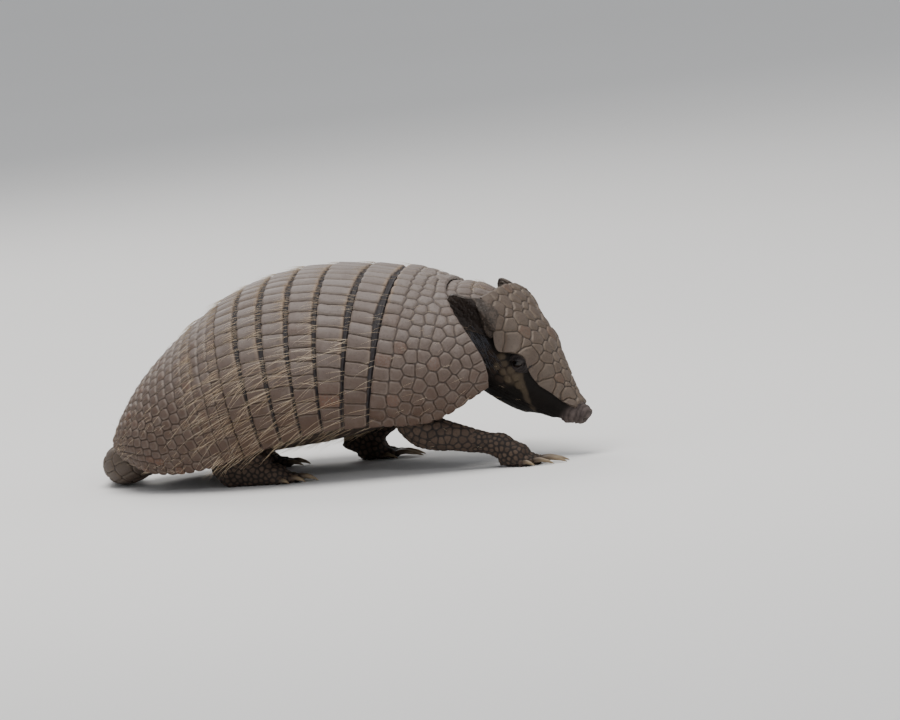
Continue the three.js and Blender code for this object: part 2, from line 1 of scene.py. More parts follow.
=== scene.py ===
# A six-banded armadillo, life size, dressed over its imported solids: plated shell, head shield, skin, ears,
# eyes, claws, plated tail and long pale bristles. Lengths are in millimetres until a mesh is made.
import math
import bmesh
import bpy
import numpy as np
from mathutils import Matrix, Vector


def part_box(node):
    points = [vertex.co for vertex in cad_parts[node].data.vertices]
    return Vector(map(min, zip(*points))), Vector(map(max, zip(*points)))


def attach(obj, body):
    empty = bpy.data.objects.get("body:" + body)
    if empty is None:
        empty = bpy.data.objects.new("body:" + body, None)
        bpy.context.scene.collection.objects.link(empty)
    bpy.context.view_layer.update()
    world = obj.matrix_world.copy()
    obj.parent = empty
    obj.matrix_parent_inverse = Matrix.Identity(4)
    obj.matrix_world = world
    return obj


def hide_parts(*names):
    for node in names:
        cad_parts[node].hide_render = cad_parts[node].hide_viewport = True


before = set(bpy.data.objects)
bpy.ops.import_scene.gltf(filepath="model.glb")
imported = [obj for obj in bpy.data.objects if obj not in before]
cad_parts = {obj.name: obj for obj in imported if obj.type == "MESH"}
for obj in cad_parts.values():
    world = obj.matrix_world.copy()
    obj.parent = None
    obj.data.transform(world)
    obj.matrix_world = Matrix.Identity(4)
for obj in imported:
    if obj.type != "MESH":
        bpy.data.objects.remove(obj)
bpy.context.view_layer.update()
print("frame loaded")

# Curves, directions, random fields and plate cells, as whole arrays.

def smoothAt(table, u):
    # Catmull-Rom curve through the rows of a table, at stations u
    table = np.asarray(table, float)
    last = len(table) - 1
    rows = np.vstack([2 * table[:1] - table[1:2], table, 2 * table[-1:] - table[-2:-1]])
    u = np.asarray(u, float)
    i = np.clip(np.floor(u).astype(int), 0, last - 1)
    t = (u - i)[..., None]
    a, b, c, d = (rows[i + k] for k in range(4))
    return b + 0.5 * t * (c - a + t * (2 * a - 5 * b + 4 * c - d + t * (3 * (b - c) + d - a)))

def stationOf(column, x):
    # the station at which a rising column of a table has the value x
    return np.interp(x, column, np.arange(len(column)))

def signedPower(value, exponent):
    # the power of the size, with the value's own sign
    return np.sign(value) * np.abs(value) ** exponent

def easeStep(low, high, x):
    # 0 below low, 1 above high and smooth between
    t = np.clip((np.asarray(x, float) - low) / (high - low), 0, 1)
    return t * t * (3 - 2 * t)

def unit(vectors):
    # each vector divided by its length
    return vectors / np.maximum(np.linalg.norm(vectors, axis=-1, keepdims=True), 1e-12)

def normalsOf(points, outwardFrom=None):
    # cross product of the two grid directions of a grid of points, turned away from a line of inner points
    normals = unit(np.cross(np.gradient(points, axis=0), np.gradient(points, axis=1)))
    if outwardFrom is not None:
        away = np.sum(normals * (points - outwardFrom), axis=-1, keepdims=True)
        normals = normals * np.where(away.mean() < 0, -1, 1)
    return normals

def roughness3d(points, size, seed):
    # smooth random field: a lattice of random numbers, blended with an eased trilinear weight; -1 to 1
    cell = np.asarray(points, float) / size
    base = np.floor(cell).astype(np.int64)
    t = cell - base
    t = t * t * (3 - 2 * t)
    total = np.zeros(cell.shape[:-1])
    for corner in np.ndindex(2, 2, 2):
        at = base + np.array(corner)
        # a hash of the lattice point: its numbers times large primes, folded together and mixed
        mixed = (at[..., 0] * 73856093) ^ (at[..., 1] * 19349663) ^ (at[..., 2] * 83492791)
        mixed = mixed ^ (seed * 2654435761)
        mixed = (mixed ^ (mixed >> 13)) * 1274126177
        value = ((mixed ^ (mixed >> 16)) & 0xFFFF) / 32767.5 - 1
        weight = np.prod(np.where(np.array(corner) == 1, t, 1 - t), axis=-1)
        total += value * weight
    return total

def plateCells(points, seeds, weights):
    # Power diagram: a point belongs to the seed with the least squared distance less the seed's weight.
    # Returns that seed and the distance to the nearest border, with corners rounded by a soft minimum: minus
    # the logarithm of the summed exponentials of minus sharpness times the distances, over sharpness.
    owner = np.zeros(len(points), int)
    border = np.zeros(len(points))
    apart = np.linalg.norm(seeds[:, None] - seeds[None], axis=-1)
    np.fill_diagonal(apart, 1)
    sharpness = 2.4
    chunk = int(6e6 / len(seeds))  # points at a time, to keep the arrays small
    for start in range(0, len(points), chunk):
        some = points[start:start + chunk]
        power = np.sum(some ** 2, -1)[:, None] - 2 * some @ seeds.T + np.sum(seeds ** 2, -1) - weights
        own = power.argmin(1)
        reach = (power - power[np.arange(len(some)), own][:, None]) / (2 * apart[own])
        reach[np.arange(len(some)), own] = 1e6
        near = np.partition(reach, 3, axis=1)[:, :3] if len(seeds) > 3 else reach
        owner[start:start + chunk] = own
        border[start:start + chunk] = -np.log(np.exp(-sharpness * near).sum(1)) / sharpness
    return owner, np.maximum(border, 0)

# Meshes are built from arrays of points and faces.
def gridFaces(rows, columns, first=0, wrap=False):
    # quads between neighbouring points of a grid, counted from first; wrap joins the last column to the first
    i, j = np.meshgrid(np.arange(rows - 1), np.arange(columns if wrap else columns - 1), indexing="ij")
    k = (j + 1) % columns
    quads = np.stack([i * columns + j, i * columns + k, (i + 1) * columns + k, (i + 1) * columns + j], -1)
    return quads.reshape(-1, 4) + first

def stitch(chainA, chainB):
    # triangles between two chains of points with different counts, taken in order of their shares of the way
    stepsA, stepsB = len(chainA) - 1, len(chainB) - 1
    midA = (np.arange(stepsA) + 0.5) / stepsA
    midB = (np.arange(stepsB) + 0.5) / stepsB + 1e-9
    onB = chainB[np.searchsorted(midB, midA)]
    onA = chainA[np.searchsorted(midA, midB)]
    return np.vstack([np.stack([chainA[:-1], chainA[1:], onB], -1),
        np.stack([chainB[1:], chainB[:-1], onA], -1)])

def insideOut(points, faceSets):
    # the sum of first corner times the cross product of the others is six times the volume
    triangles = [f[:, :3] for f in faceSets] + [f[:, [0, 2, 3]] for f in faceSets if f.shape[1] == 4]
    a, b, c = (points[np.vstack(triangles)[:, k]] for k in range(3))
    return np.sum(a * np.cross(b, c)) < 0

def meshPiece(name, points, faceSets, material, uv=None, attributes=None, sharpDegrees=50):
    # points in millimetres of the solids' frame; faces are arrays of quads and triangles
    if insideOut(points, faceSets):  # so every face is turned round
        if uv is not None and len(uv) == sum(f.size for f in faceSets):
            parts = np.split(uv, np.cumsum([f.size for f in faceSets])[:-1])
            uv = np.concatenate([part.reshape(*f.shape, 2)[:, ::-1].reshape(-1, 2)
                for part, f in zip(parts, faceSets)])
        faceSets = [f[:, ::-1] for f in faceSets]
    counts = np.concatenate([np.full(len(f), f.shape[1]) for f in faceSets])
    corners = np.concatenate([f.ravel() for f in faceSets]).astype(np.int32)
    starts = np.concatenate([[0], np.cumsum(counts)[:-1]]).astype(np.int32)
    mesh = bpy.data.meshes.new(name)
    mesh.vertices.add(len(points))
    mesh.vertices.foreach_set("co", ((points - shift) / 1000).astype(np.float32).ravel())
    mesh.loops.add(len(corners))
    mesh.loops.foreach_set("vertex_index", corners)
    mesh.polygons.add(len(counts))
    mesh.polygons.foreach_set("loop_start", starts)
    mesh.update(calc_edges=True)
    mesh.polygons.foreach_set("use_smooth", np.ones(len(counts), bool))
    if uv is not None:
        layer = mesh.uv_layers.new(name="OFBake")
        perCorner = uv if len(uv) == len(corners) else uv[corners]
        layer.data.foreach_set("uv", perCorner.astype(np.float32).ravel())
    for key, values in (attributes or {}).items():
        mesh.attributes.new(key, "FLOAT", "POINT").data.foreach_set("value", np.asarray(values, np.float32))
    mesh.validate()
    mesh.set_sharp_from_angle(angle=math.radians(sharpDegrees))
    piece = bpy.data.objects.new(name, mesh)
    bpy.context.scene.collection.objects.link(piece)
    mesh.materials.append(material)
    return piece

def handOver(piece, nodes):
    # hides the nodes that the piece stands in for, and sets it on the body that it moves with
    if nodes:
        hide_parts(*nodes)
    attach(piece, "root")

def closedSheet(name, top, under, material, attributes):
    # a plate between two grids of points with different counts, joined round all four sides
    rows, columns = top.shape[:2]
    underRows, underColumns = under.shape[:2]
    points = np.vstack([top.reshape(-1, 3), under.reshape(-1, 3)])
    first = rows * columns
    topIndex = np.arange(first).reshape(rows, columns)
    underIndex = first + np.arange(underRows * underColumns).reshape(underRows, underColumns)
    walls = np.vstack([stitch(underIndex[0], topIndex[0]), stitch(topIndex[-1], underIndex[-1]),
        stitch(topIndex[:, 0], underIndex[:, 0]), stitch(underIndex[:, -1], topIndex[:, -1])])
    faceSets = [gridFaces(rows, columns), gridFaces(underRows, underColumns, first)[:, ::-1], walls]

    # the map: the top fills most of the square, the underside a strip above it and the walls a thin line
    def mapped(rowCount, columnCount, low, high):
        u, v = np.meshgrid(np.linspace(0.005, 0.995, columnCount), np.linspace(low, high, rowCount))
        return np.stack([u, v], -1).reshape(-1, 2)

    flat = np.vstack([mapped(rows, columns, 0.005, 0.925), mapped(underRows, underColumns, 0.965, 0.995)])
    uv = [flat[f.ravel()] for f in faceSets[:2]]
    wallUv = flat[walls.ravel()].copy()
    wallUv[:, 1] = 0.94 + 0.01 * (walls.ravel() >= first)
    attributes = {key: np.concatenate([np.ravel(v), np.full(underRows * underColumns, np.mean(v))])
        for key, v in attributes.items()}
    return meshPiece(name, points, faceSets, material, np.vstack([*uv, wallUv]), attributes)

# Materials are procedural, written as sums and products of sockets.

class Wire:
    # wraps a socket of one material, so that sums and products of wires and numbers add its Math nodes
    def __init__(self, paint, socket):
        self.paint, self.socket = paint, socket

    def math(self, operation, first, second):
        return self.paint.node("Math", {"operation": operation}, {0: first, 1: second})

    def __add__(self, other): return self.math("ADD", self, other)
    def __radd__(self, other): return self.math("ADD", other, self)
    def __sub__(self, other): return self.math("SUBTRACT", self, other)
    def __rsub__(self, other): return self.math("SUBTRACT", other, self)
    def __mul__(self, other): return self.math("MULTIPLY", self, other)
    def __rmul__(self, other): return self.math("MULTIPLY", other, self)
    def least(self, other): return self.math("MINIMUM", self, other)
    def most(self, other): return self.math("MAXIMUM", self, other)

    def ease(self, low, high):
        # 0 below low, 1 above high and smooth between
        return self.paint.node("MapRange", {"interpolation_type": "SMOOTHSTEP"}, {0: self, 1: low, 2: high})

class Paint:
    # one material round a Principled shader; node adds any node from its type, settings and inputs
    def __init__(self, name):
        self.material = bpy.data.materials.new(name)
        self.material.use_nodes = True
        self.tree = self.material.node_tree
        self.shader = self.tree.nodes["Principled BSDF"]
        self.place = self.node("TexCoord", output="Object")

    def node(self, kind, settings=None, inputs=None, output=0):
        made = self.tree.nodes.new("ShaderNode" + kind)
        for key, value in (settings or {}).items():
            setattr(made, key, value)
        for key, value in (inputs or {}).items():
            self.feed(made.inputs[key], value)
        return Wire(self, made.outputs[output])

    def feed(self, socket, value):
        if isinstance(value, Wire):
            self.tree.links.new(value.socket, socket)
        else:
            socket.default_value = value

    def carried(self, name):
        # a number that the mesh carries at each of its points
        return self.node("Attribute", {"attribute_name": name}, output="Fac")

    def noise(self, size, detail, stretch=None):
        # size is the width of a patch in millimetres
        place = self.place
        if stretch is not None:
            place = self.node("Mapping", inputs={"Vector": self.place, "Scale": stretch})
        return self.node("TexNoise", inputs={"Vector": place, "Scale": 1000 / size, "Detail": detail,
            "Roughness": 0.55})

    def pebbles(self, size):
        # distance to the middle of the nearest of many cells, whose size is in millimetres
        return self.node("TexVoronoi", inputs={"Vector": self.place, "Scale": 1000 / size}, output="Distance")

    def mix(self, share, first, second):
        return self.node("Mix", {"data_type": "RGBA"}, {0: share, 6: first, 7: second}, 2)

    def finish(self, colour, roughness, height=None, depth=0.3, **constants):
        # depth is the bump's height in millimetres; the constants are named as the shader's inputs are
        self.feed(self.shader.inputs["Base Color"], colour)
        self.feed(self.shader.inputs["Roughness"], roughness)
        if height is not None:
            bump = self.node("Bump", inputs={"Height": height, "Strength": 1.0, "Distance": depth / 1000})
            self.feed(self.shader.inputs["Normal"], bump)
        for key, value in constants.items():
            self.shader.inputs[key.replace("_", " ")].default_value = value
        return self.material

def tint(red, green, blue):
    # screen colour, 0 to 255, as the linear colour of a shader
    share = np.array([red, green, blue]) / 255
    return (*np.where(share <= 0.04045, share / 12.92, ((share + 0.055) / 1.055) ** 2.4), 1)

def plateMaterial(name, colours):
    # Dry horn over bone: each plate has its own tone, pale rims that are partly wear and partly painted
    # highlight, grooves darkened with painted shade, and fine pits. Height runs from the low flank, 0, to the
    # back, 1: the low flank's darker redder colour is partly its own and partly painted shade, and the paler
    # back is partly painted light.
    paint = Paint(name)
    tone, groove, strip = paint.carried("tone"), paint.carried("groove"), paint.carried("strip")
    patches, cloud, fine = paint.noise(34, 3), paint.noise(9, 4), paint.noise(1.6, 4)
    height = paint.carried("upper")
    # from flank to back: partly the plates' own colours, partly painted shade low down and painted light on the
    # back
    base = paint.mix(height, colours["low"], colours["high"])
    base = paint.mix((0.5 * tone + 0.7 * patches - 0.25).least(1).most(0), base, colours["warm"])
    # pale clouds, fewer low on the flank as painted shade
    base = paint.mix(cloud.ease(0.4, 0.75) * (0.15 + 0.4 * height), base, colours["pale"])
    # pale rims near each border: partly wear and partly painted highlight, fewer low on the flank as painted
    # shade
    edge = groove.ease(0.16, 0.42) * (1 - groove.ease(0.5, 0.95))
    base = paint.mix(edge * (0.1 + 0.25 * height + 0.45 * cloud), base, colours["edge"])
    stain = (tone.ease(0.9, 0.97) * (1 - height) * fine.ease(0.35, 0.6)).least(1)
    base = paint.mix(stain * 0.55, base, colours["rust"])
    base = paint.mix(fine.ease(0.52, 0.7) * 0.3, base, colours["groove"])
    worn = paint.carried("margin") * patches.ease(0.35, 0.65) * (0.15 + 0.6 * cloud)
    base = paint.mix(worn, base, colours["margin"])
    # painted shade in the grooves between plates, darkest at their bottom
    base = paint.mix((1 - groove.ease(0.0, 0.4)) * 0.5, base, colours["groove"])
    base = paint.mix((1 - groove.ease(0.0, 0.14)) * (0.2 + 0.6 * cloud), base, colours["strip"])
    base = paint.mix(strip, base, paint.mix(fine, colours["skin"], colours["strip"]))
    shine = 0.5 + 0.22 * cloud + 0.15 * strip
    relief = fine * 0.5 + paint.pebbles(1.1) * 0.35 + paint.noise(0.6, 2) * 0.25
    return paint.finish(base, shine, relief, 0.28, Specular_IOR_Level=0.42)

# The shell's shape is the one that the solids have.

shell = {
    # ridge x and z, rim x and z, half width, forward bow of the side
    "stations": np.array([(281, 143, 315, 61, 74, 9), (264, 149.5, 272, 40, 85, 4),
        (246, 154, 221, 40, 90, 0), (189, 160, 187, 40, 95, 0), (141, 155, 154, 34, 95, 0),
        (100, 140, 123, 25, 92, 0), (65, 116, 97, 18, 86, 0), (33, 86, 69, 13.5, 74, 0),
        (13, 58, 40, 14.5, 56, 0), (4, 40, 14, 25, 31, 0)]),
    "rimTuck": 0.1, "widestAt": 0.28, "roundness": 2.25, "ridgeShare": 0.72,
    # stations of the edges, and the trim that keeps each piece clear of the next one
    "firstBand": 2.0, "pelvic": 5.0, "last": 9.0, "trim": 0.012,
    "bands": 6, "thickness": 4.2, "lap": 2.4, "lapDepth": 4.4,
}

def shellSurface(u, a):
    # Station u runs from the neck to the tail and a from the right rim, -1, over the ridge to the left rim, 1.
    # A superellipse down to where the shell is widest, then a wall that turns in towards the rim. Between rim
    # and ridge the side bows forward by bow times 6.75 h (1 - h) squared, most of all at a height h of a third.
    ridgeX, ridgeZ, rimX, rimZ, halfWidth, bow = np.moveaxis(smoothAt(shell["stations"], u), -1, 0)
    r = np.abs(a) / shell["ridgeShare"]
    angle = np.minimum(r, 1) * math.pi / 2
    power = 2 / shell["roundness"]
    t = np.clip((np.abs(a) - shell["ridgeShare"]) / (1 - shell["ridgeShare"]), 0, 1)
    widest = shell["widestAt"]
    across = np.where(r <= 1, np.sin(angle) ** power, 1 - shell["rimTuck"] * t * t)
    high = np.where(r <= 1, widest + (1 - widest) * np.abs(np.cos(angle)) ** power, widest * (1 - t))
    x = rimX + (ridgeX - rimX) * high + bow * 6.75 * high * (1 - high) ** 2
    return np.stack([x, np.sign(a) * halfWidth * across, rimZ + (ridgeZ - rimZ) * high], -1)

def shellNormal(u, a):
    # cross product of the shell's two directions, from points a small step apart
    step = 0.006
    low, high = np.maximum(u - step, 0), np.minimum(u + step, shell["last"])
    left, right = np.maximum(a - step, -1), np.minimum(a + step, 1)
    along = shellSurface(high, a) - shellSurface(low, a)
    across = shellSurface(u, right) - shellSurface(u, left)
    return unit(np.cross(across, along))

# Arc lengths from ridge to rim at a middle station turn shares of the way into shares of the length.
evenWalk = np.linspace(0, 1, 400)
midArc = shellSurface(np.full(400, 4.0), evenWalk)
arcShare = np.concatenate([[0], np.cumsum(np.linalg.norm(np.diff(midArc, axis=0), axis=1))])
arcShare /= arcShare[-1]

def roundAt(share):
    # a for a share of the way from the ridge, 0, to a rim, 1 or -1
    return np.sign(share) * np.interp(np.abs(share), arcShare, evenWalk)

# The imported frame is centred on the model's box: band 3 gives the shift from the solids' frame to it.
bandRange = np.linspace(-1, 1, 21)
bandFront = np.full(21, 3.01)
bandEdge = shellSurface(bandFront, bandRange) - 1.5 * shellNormal(bandFront, bandRange)
bandLow, bandHigh = (np.array(corner) * 1000 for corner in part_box("band_3"))
shift = np.array([bandEdge[:, 0].max() - bandHigh[0], -(bandLow[1] + bandHigh[1]) / 2, 0])
print("shift from the solids' frame", np.round(shift, 2))

# Camera, floor and lights stand round the model.

view = {
    "azimuth": 12, "elevation": 6, "roll": 5.9, "distance": 9000, "depthOfSide": 55,
    # in pixels: where the solids' origin stands, the picture's middle and its width
    "mmPerPixel": 0.77, "origin": (115, 489), "centre": (450, 360), "pixelsAcross": 900,
}

def setCamera():
    # The camera looks along into, with its own right and up turned by the roll. The scale holds at the depth of
    # the near side, so the lens is the sensor's width times that distance over the width seen there.
    a, e, r = (math.radians(view[k]) for k in ("azimuth", "elevation", "roll"))
    across = np.array([math.cos(a), math.sin(a), 0])
    upwards = np.array([-math.sin(a) * math.sin(e), math.cos(a) * math.sin(e), math.cos(e)])
    into = np.array([-math.sin(a) * math.cos(e), math.cos(a) * math.cos(e), -math.sin(e)])
    right = math.cos(r) * across - math.sin(r) * upwards
    up = math.sin(r) * across + math.cos(r) * upwards
    k = view["mmPerPixel"]
    (originX, originY), (middleX, middleY) = view["origin"], view["centre"]
    target = right * (middleX - originX) * k + up * (originY - middleY) * k
    place = (target - into * view["distance"] - shift) / 1000
    data = bpy.data.cameras.new("camera")
    data.lens = data.sensor_width * (view["distance"] - view["depthOfSide"]) / (view["pixelsAcross"] * k)
    data.clip_end = 100
    camera = bpy.data.objects.new("camera", data)
    rows = [[*row, p] for row, p in zip(np.stack([right, up, -into], 1), place)]
    camera.matrix_world = Matrix(rows + [[0, 0, 0, 1]])
    bpy.context.scene.collection.objects.link(camera)
    bpy.context.scene.camera = camera

# name: place in metres, size, watts and colour; a broad light above, one from the front and a faint one behind
lamps = {
    "overhead": ((-0.1, -0.25, 2.1), 1.7, 46, (1, 0.985, 0.96)),
    "front": ((1.3, -2.3, 1.35), 0.55, 12, (0.97, 0.98, 1)),
    "behind": ((-1.0, 1.9, 1.5), 1.2, 22, (1, 0.98, 0.95)),
}
studio = {"sky": (0.86, 0.89, 0.93, 1), "skyStrength": 0.62, "aim": (0, 0, 0.08), "floorHalf": 40}

def setFloorAndLights():
    floorPaint = Paint("floor")
    floorColour = floorPaint.mix(floorPaint.noise(900, 2), tint(226, 224, 221), tint(232, 230, 228))
    material = floorPaint.finish(floorColour, 0.9)
    mesh = bpy.data.meshes.new("floor")
    half = studio["floorHalf"]
    mesh.from_pydata([(-half, -half, 0), (half, -half, 0), (half, half, 0), (-half, half, 0)], [],
        [(0, 1, 2, 3)])
    mesh.materials.append(material)
    floor = bpy.data.objects.new("floor", mesh)
    bpy.context.scene.collection.objects.link(floor)
    for name, (place, size, watts, colour) in lamps.items():
        data = bpy.data.lights.new(name, "AREA")
        data.shape, data.size, data.energy, data.color = "DISK", size, watts, colour
        lamp = bpy.data.objects.new(name, data)
        towards = Vector(studio["aim"]) - Vector(place)
        lamp.matrix_world = towards.to_track_quat("-Z", "Y").to_matrix().to_4x4()
        lamp.matrix_world.translation = place
        bpy.context.scene.collection.objects.link(lamp)
    world = bpy.data.worlds.new("studio")
    world.use_nodes = True
    sky = world.node_tree.nodes["Background"].inputs
    sky["Color"].default_value, sky["Strength"].default_value = studio["sky"], studio["skyStrength"]
    bpy.context.scene.world = world

setCamera()
setFloorAndLights()
print("camera, floor and lights")

# The shell's plates: front shield, bands and rear shield.

# low and high: colours of the flank and the back, partly painted shade and painted light; edge: pale rims,
# partly painted highlight; groove: fine pits and painted shade in the grooves; strip: bare skin, and painted
# shade at the grooves' bottom
shellPaint = plateMaterial("shell plates", {
    "low": tint(65, 42, 25), "high": tint(122, 113, 108), "warm": tint(88, 72, 62),
    "pale": tint(126, 116, 110), "edge": tint(130, 118, 107), "rust": tint(104, 62, 38),
    "margin": tint(144, 120, 95), "groove": tint(56, 45, 38), "strip": tint(30, 25, 23),
    "skin": tint(60, 56, 58)})

relief = {"spacing": 0.66, "grooveWidth": 1.6, "grooveDepth": 1.05, "dome": 1.05, "domeReach": 4.8,
    "tilt": 0.22, "edgeRound": 1.9, "edgeDrop": 1.1, "lift": 0.25, "innerGroove": 0.22, "innerAt": 2.6,
    "innerWidth": 0.55, "warp": 0.5, "warpSize": 5.5, "vary": 0}

def plateRelief(points, seeds, weights, rng, settings=relief):
    # height over the shell: a smooth rise out of the groove, a low dome, a small tilt of each plate and an
    # inner groove that runs beside the border. The borders are bent by a smooth random field.
    bend = np.stack([roughness3d(points, settings["warpSize"], k) for k in (31, 32, 33)], -1) * settings["warp"]
    owner, border = plateCells(points + bend, seeds, weights)
    dome = 1 - (1 - np.minimum(border / settings["domeReach"], 1)) ** 2
    tilt = rng.uniform(-1, 1, (len(seeds), 3))[owner]
    lean = np.sum((points - seeds[owner]) * tilt, -1) / 10 * settings["tilt"] * np.minimum(border / 2, 1)
    innerDepth = easeStep(0.2, 0.8, rng.uniform(0, 1, len(seeds))[owner])
    inner = np.exp(-((border - settings["innerAt"]) / settings["innerWidth"]) ** 2) * innerDepth
    height = (settings["grooveDepth"] * (easeStep(0, settings["grooveWidth"], border) - 1)
        + settings["dome"] * (dome - 0.6) + lean - settings["innerGroove"] * inner)
    return height, border, owner

def shellWalk(near, far):
    # distances along the shell from one cross edge to the other, for each share of the way round
    stations, shares = np.linspace(near, far, 160), np.linspace(-1, 1, 241)
    grid = shellSurface(*np.meshgrid(stations, roundAt(shares), indexing="ij"))
    steps = np.linalg.norm(np.diff(grid, axis=0), axis=-1)
    lengths = np.vstack([np.zeros((1, len(shares))), np.cumsum(steps, axis=0)])
    halfRound = np.linalg.norm(np.diff(grid, axis=1), axis=-1).sum(1) / 2
    return {"stations": stations, "shares": shares, "lengths": lengths, "halfRound": halfRound}

def walkTo(walk, share, reach):
    # station at this distance along the line of this share, and that line's whole length
    line = np.array([np.interp(share, walk["shares"], row) for row in walk["lengths"]])
    return np.interp(reach, line, walk["stations"]), line[-1]

def seedsOnShell(walk, rows, rng, farMargin=0, rimMargin=0, jitter=0.09):
    # Rows of plates across the shell: distance from the near edge, plate width, stagger and weight.
    # A row of their own follows the far edge and each rim, where a margin is given.
    seeds, weights = [], []

    def place(share, reach, weight, station=None):
        if station is None:
            station = walkTo(walk, share, reach)[0]
        seeds.append(shellSurface(station, roundAt(share)))
        weights.append(weight)

    for reach, width, stagger, weight in rows:
        middle = min(walkTo(walk, 0.5, reach)[0], max(walk["stations"])) if reach else walk["stations"][0]
        arc = np.interp(middle, *sortedPair(walk["stations"], walk["halfRound"]))
        for k in range(-int(arc / width) - 1, int(arc / width) + 2):
            share = (k + stagger + rng.uniform(-jitter, jitter)) * width / arc
            along = reach + rng.uniform(-4, 4) * jitter
            if abs(share) * arc > arc - max(rimMargin, 0.3 * width):
                continue
            if along > walkTo(walk, share, along)[1] - farMargin:
                continue
            place(share, along, weight)
    if farMargin:
        arc = walk["halfRound"][-1]
        count = int(2 * (arc - rimMargin) / (farMargin * 0.98))
        for share in (np.arange(count) + 0.5) / count * 2 - 1:
            share = share * (1 - rimMargin / arc) + rng.uniform(-0.06, 0.06) * farMargin / arc
            place(share, walkTo(walk, share, 0)[1] - farMargin * 0.47, 0)
    if rimMargin:
        for side in (-1, 1):
            length = walkTo(walk, side, 0)[1]
            count = int(length / (rimMargin * 1.02))
            for reach in (np.arange(count) + 0.5) / count * length:
                station = walkTo(walk, side, reach)[0]
                arc = np.interp(station, *sortedPair(walk["stations"], walk["halfRound"]))
                place(side * (1 - rimMargin * 0.46 / arc), 0, 0, station)
    return np.array(seeds), np.array(weights, float)

def sortedPair(keys, values):
    # both in the order of rising keys, as np.interp wants them
    order = np.argsort(keys)
    return keys[order], values[order]

def scallop(surface, border, rearMost, sideMost):
    # Draws the free edges in where a groove meets them, so that each plate ends in a curve of its own. The pull
    # follows the grid's direction away from the edge and fades over the first rows.
    rows, columns = border.shape
    pull = np.zeros_like(surface)
    edges = ((0, 0, rearMost), (rows - 1, 0, rearMost), (0, 1, sideMost), (columns - 1, 1, sideMost))
    for edge, axis, amount in edges:
        if not amount:
            continue
        inner = 1 if edge == 0 else -1
        line = np.take(border, edge + 3 * inner, axis)  # the grooves a little inside the edge
        at, near = np.take(surface, edge, axis), np.take(surface, edge + 6 * inner, axis)
        reach = np.abs(np.arange(border.shape[axis]) - edge)
        fade = np.clip(1 - reach / 9, 0, 1)
        push = unit(near - at) * (amount * (1 - easeStep(0, 2.4, line)))[:, None]
        pull += fade[:, None, None] * push[None] if axis == 0 else push[:, None] * fade[None, :, None]
    return surface + pull

bareStrip = {
    # bare skin in front of a band's plates: share of the way to the rim, and width in millimetres there
    "widthAt": np.array([(0, 2.9), (0.2, 4.3), (0.42, 5.2), (0.62, 3.6), (0.8, 1.8), (1, 1.1)]),
    # of the skin before each band, as a share of that width
    "widths": (1.1, 1.0, 0.72, 0.85, 1.0, 0.85),
    "vary": 0.22, "depth": 1.5, "intoGrooves": 1.1,
}

def edgeDistances(base, lap):
    # arc lengths on the grid from its front edge, less the lap, from its rear edge and from the nearer rim
    rows, columns = base.shape[:2]
    steps = np.linalg.norm(np.diff(base, axis=0), axis=-1)
    fromFront = np.vstack([np.zeros((1, columns)), np.cumsum(steps, axis=0)]) - lap
    sideSteps = np.linalg.norm(np.diff(base, axis=1), axis=-1)
    fromRim = np.hstack([np.zeros((rows, 1)), np.cumsum(sideSteps, axis=1)])
    return fromFront, fromFront[-1] - fromFront, np.minimum(fromRim, fromRim[:, -1:] - fromRim)

def pastStrip(base, share, fromFront, border, wider):
    # distance behind the strip's rear edge, which is widest on the flank and runs into the grooves
    width = np.interp(np.abs(share), *bareStrip["widthAt"].T)
    width = wider * width * (1 + bareStrip["vary"] * roughness3d(base, 16, 6))
    return fromFront - (width + bareStrip["intoGrooves"] * np.exp(-border / 0.8))

def shellUnderside(u, lap):
    # a coarse grid inside the shell; its front row lies deeper where the piece runs under another
    stations, shares = np.meshgrid(np.linspace(*u, 7), np.linspace(-1, 1, 41), indexing="ij")
    outside, normal = shellSurface(stations, roundAt(shares)), shellNormal(stations, roundAt(shares))
    under = outside - normal * (shell["thickness"] - 0.6)
    for row, depth in ((0, shell["lapDepth"] + 1.2 if lap else 3.4), (-1, 3.4)):
        under[row] = outside[row] - normal[row] * depth
    return under

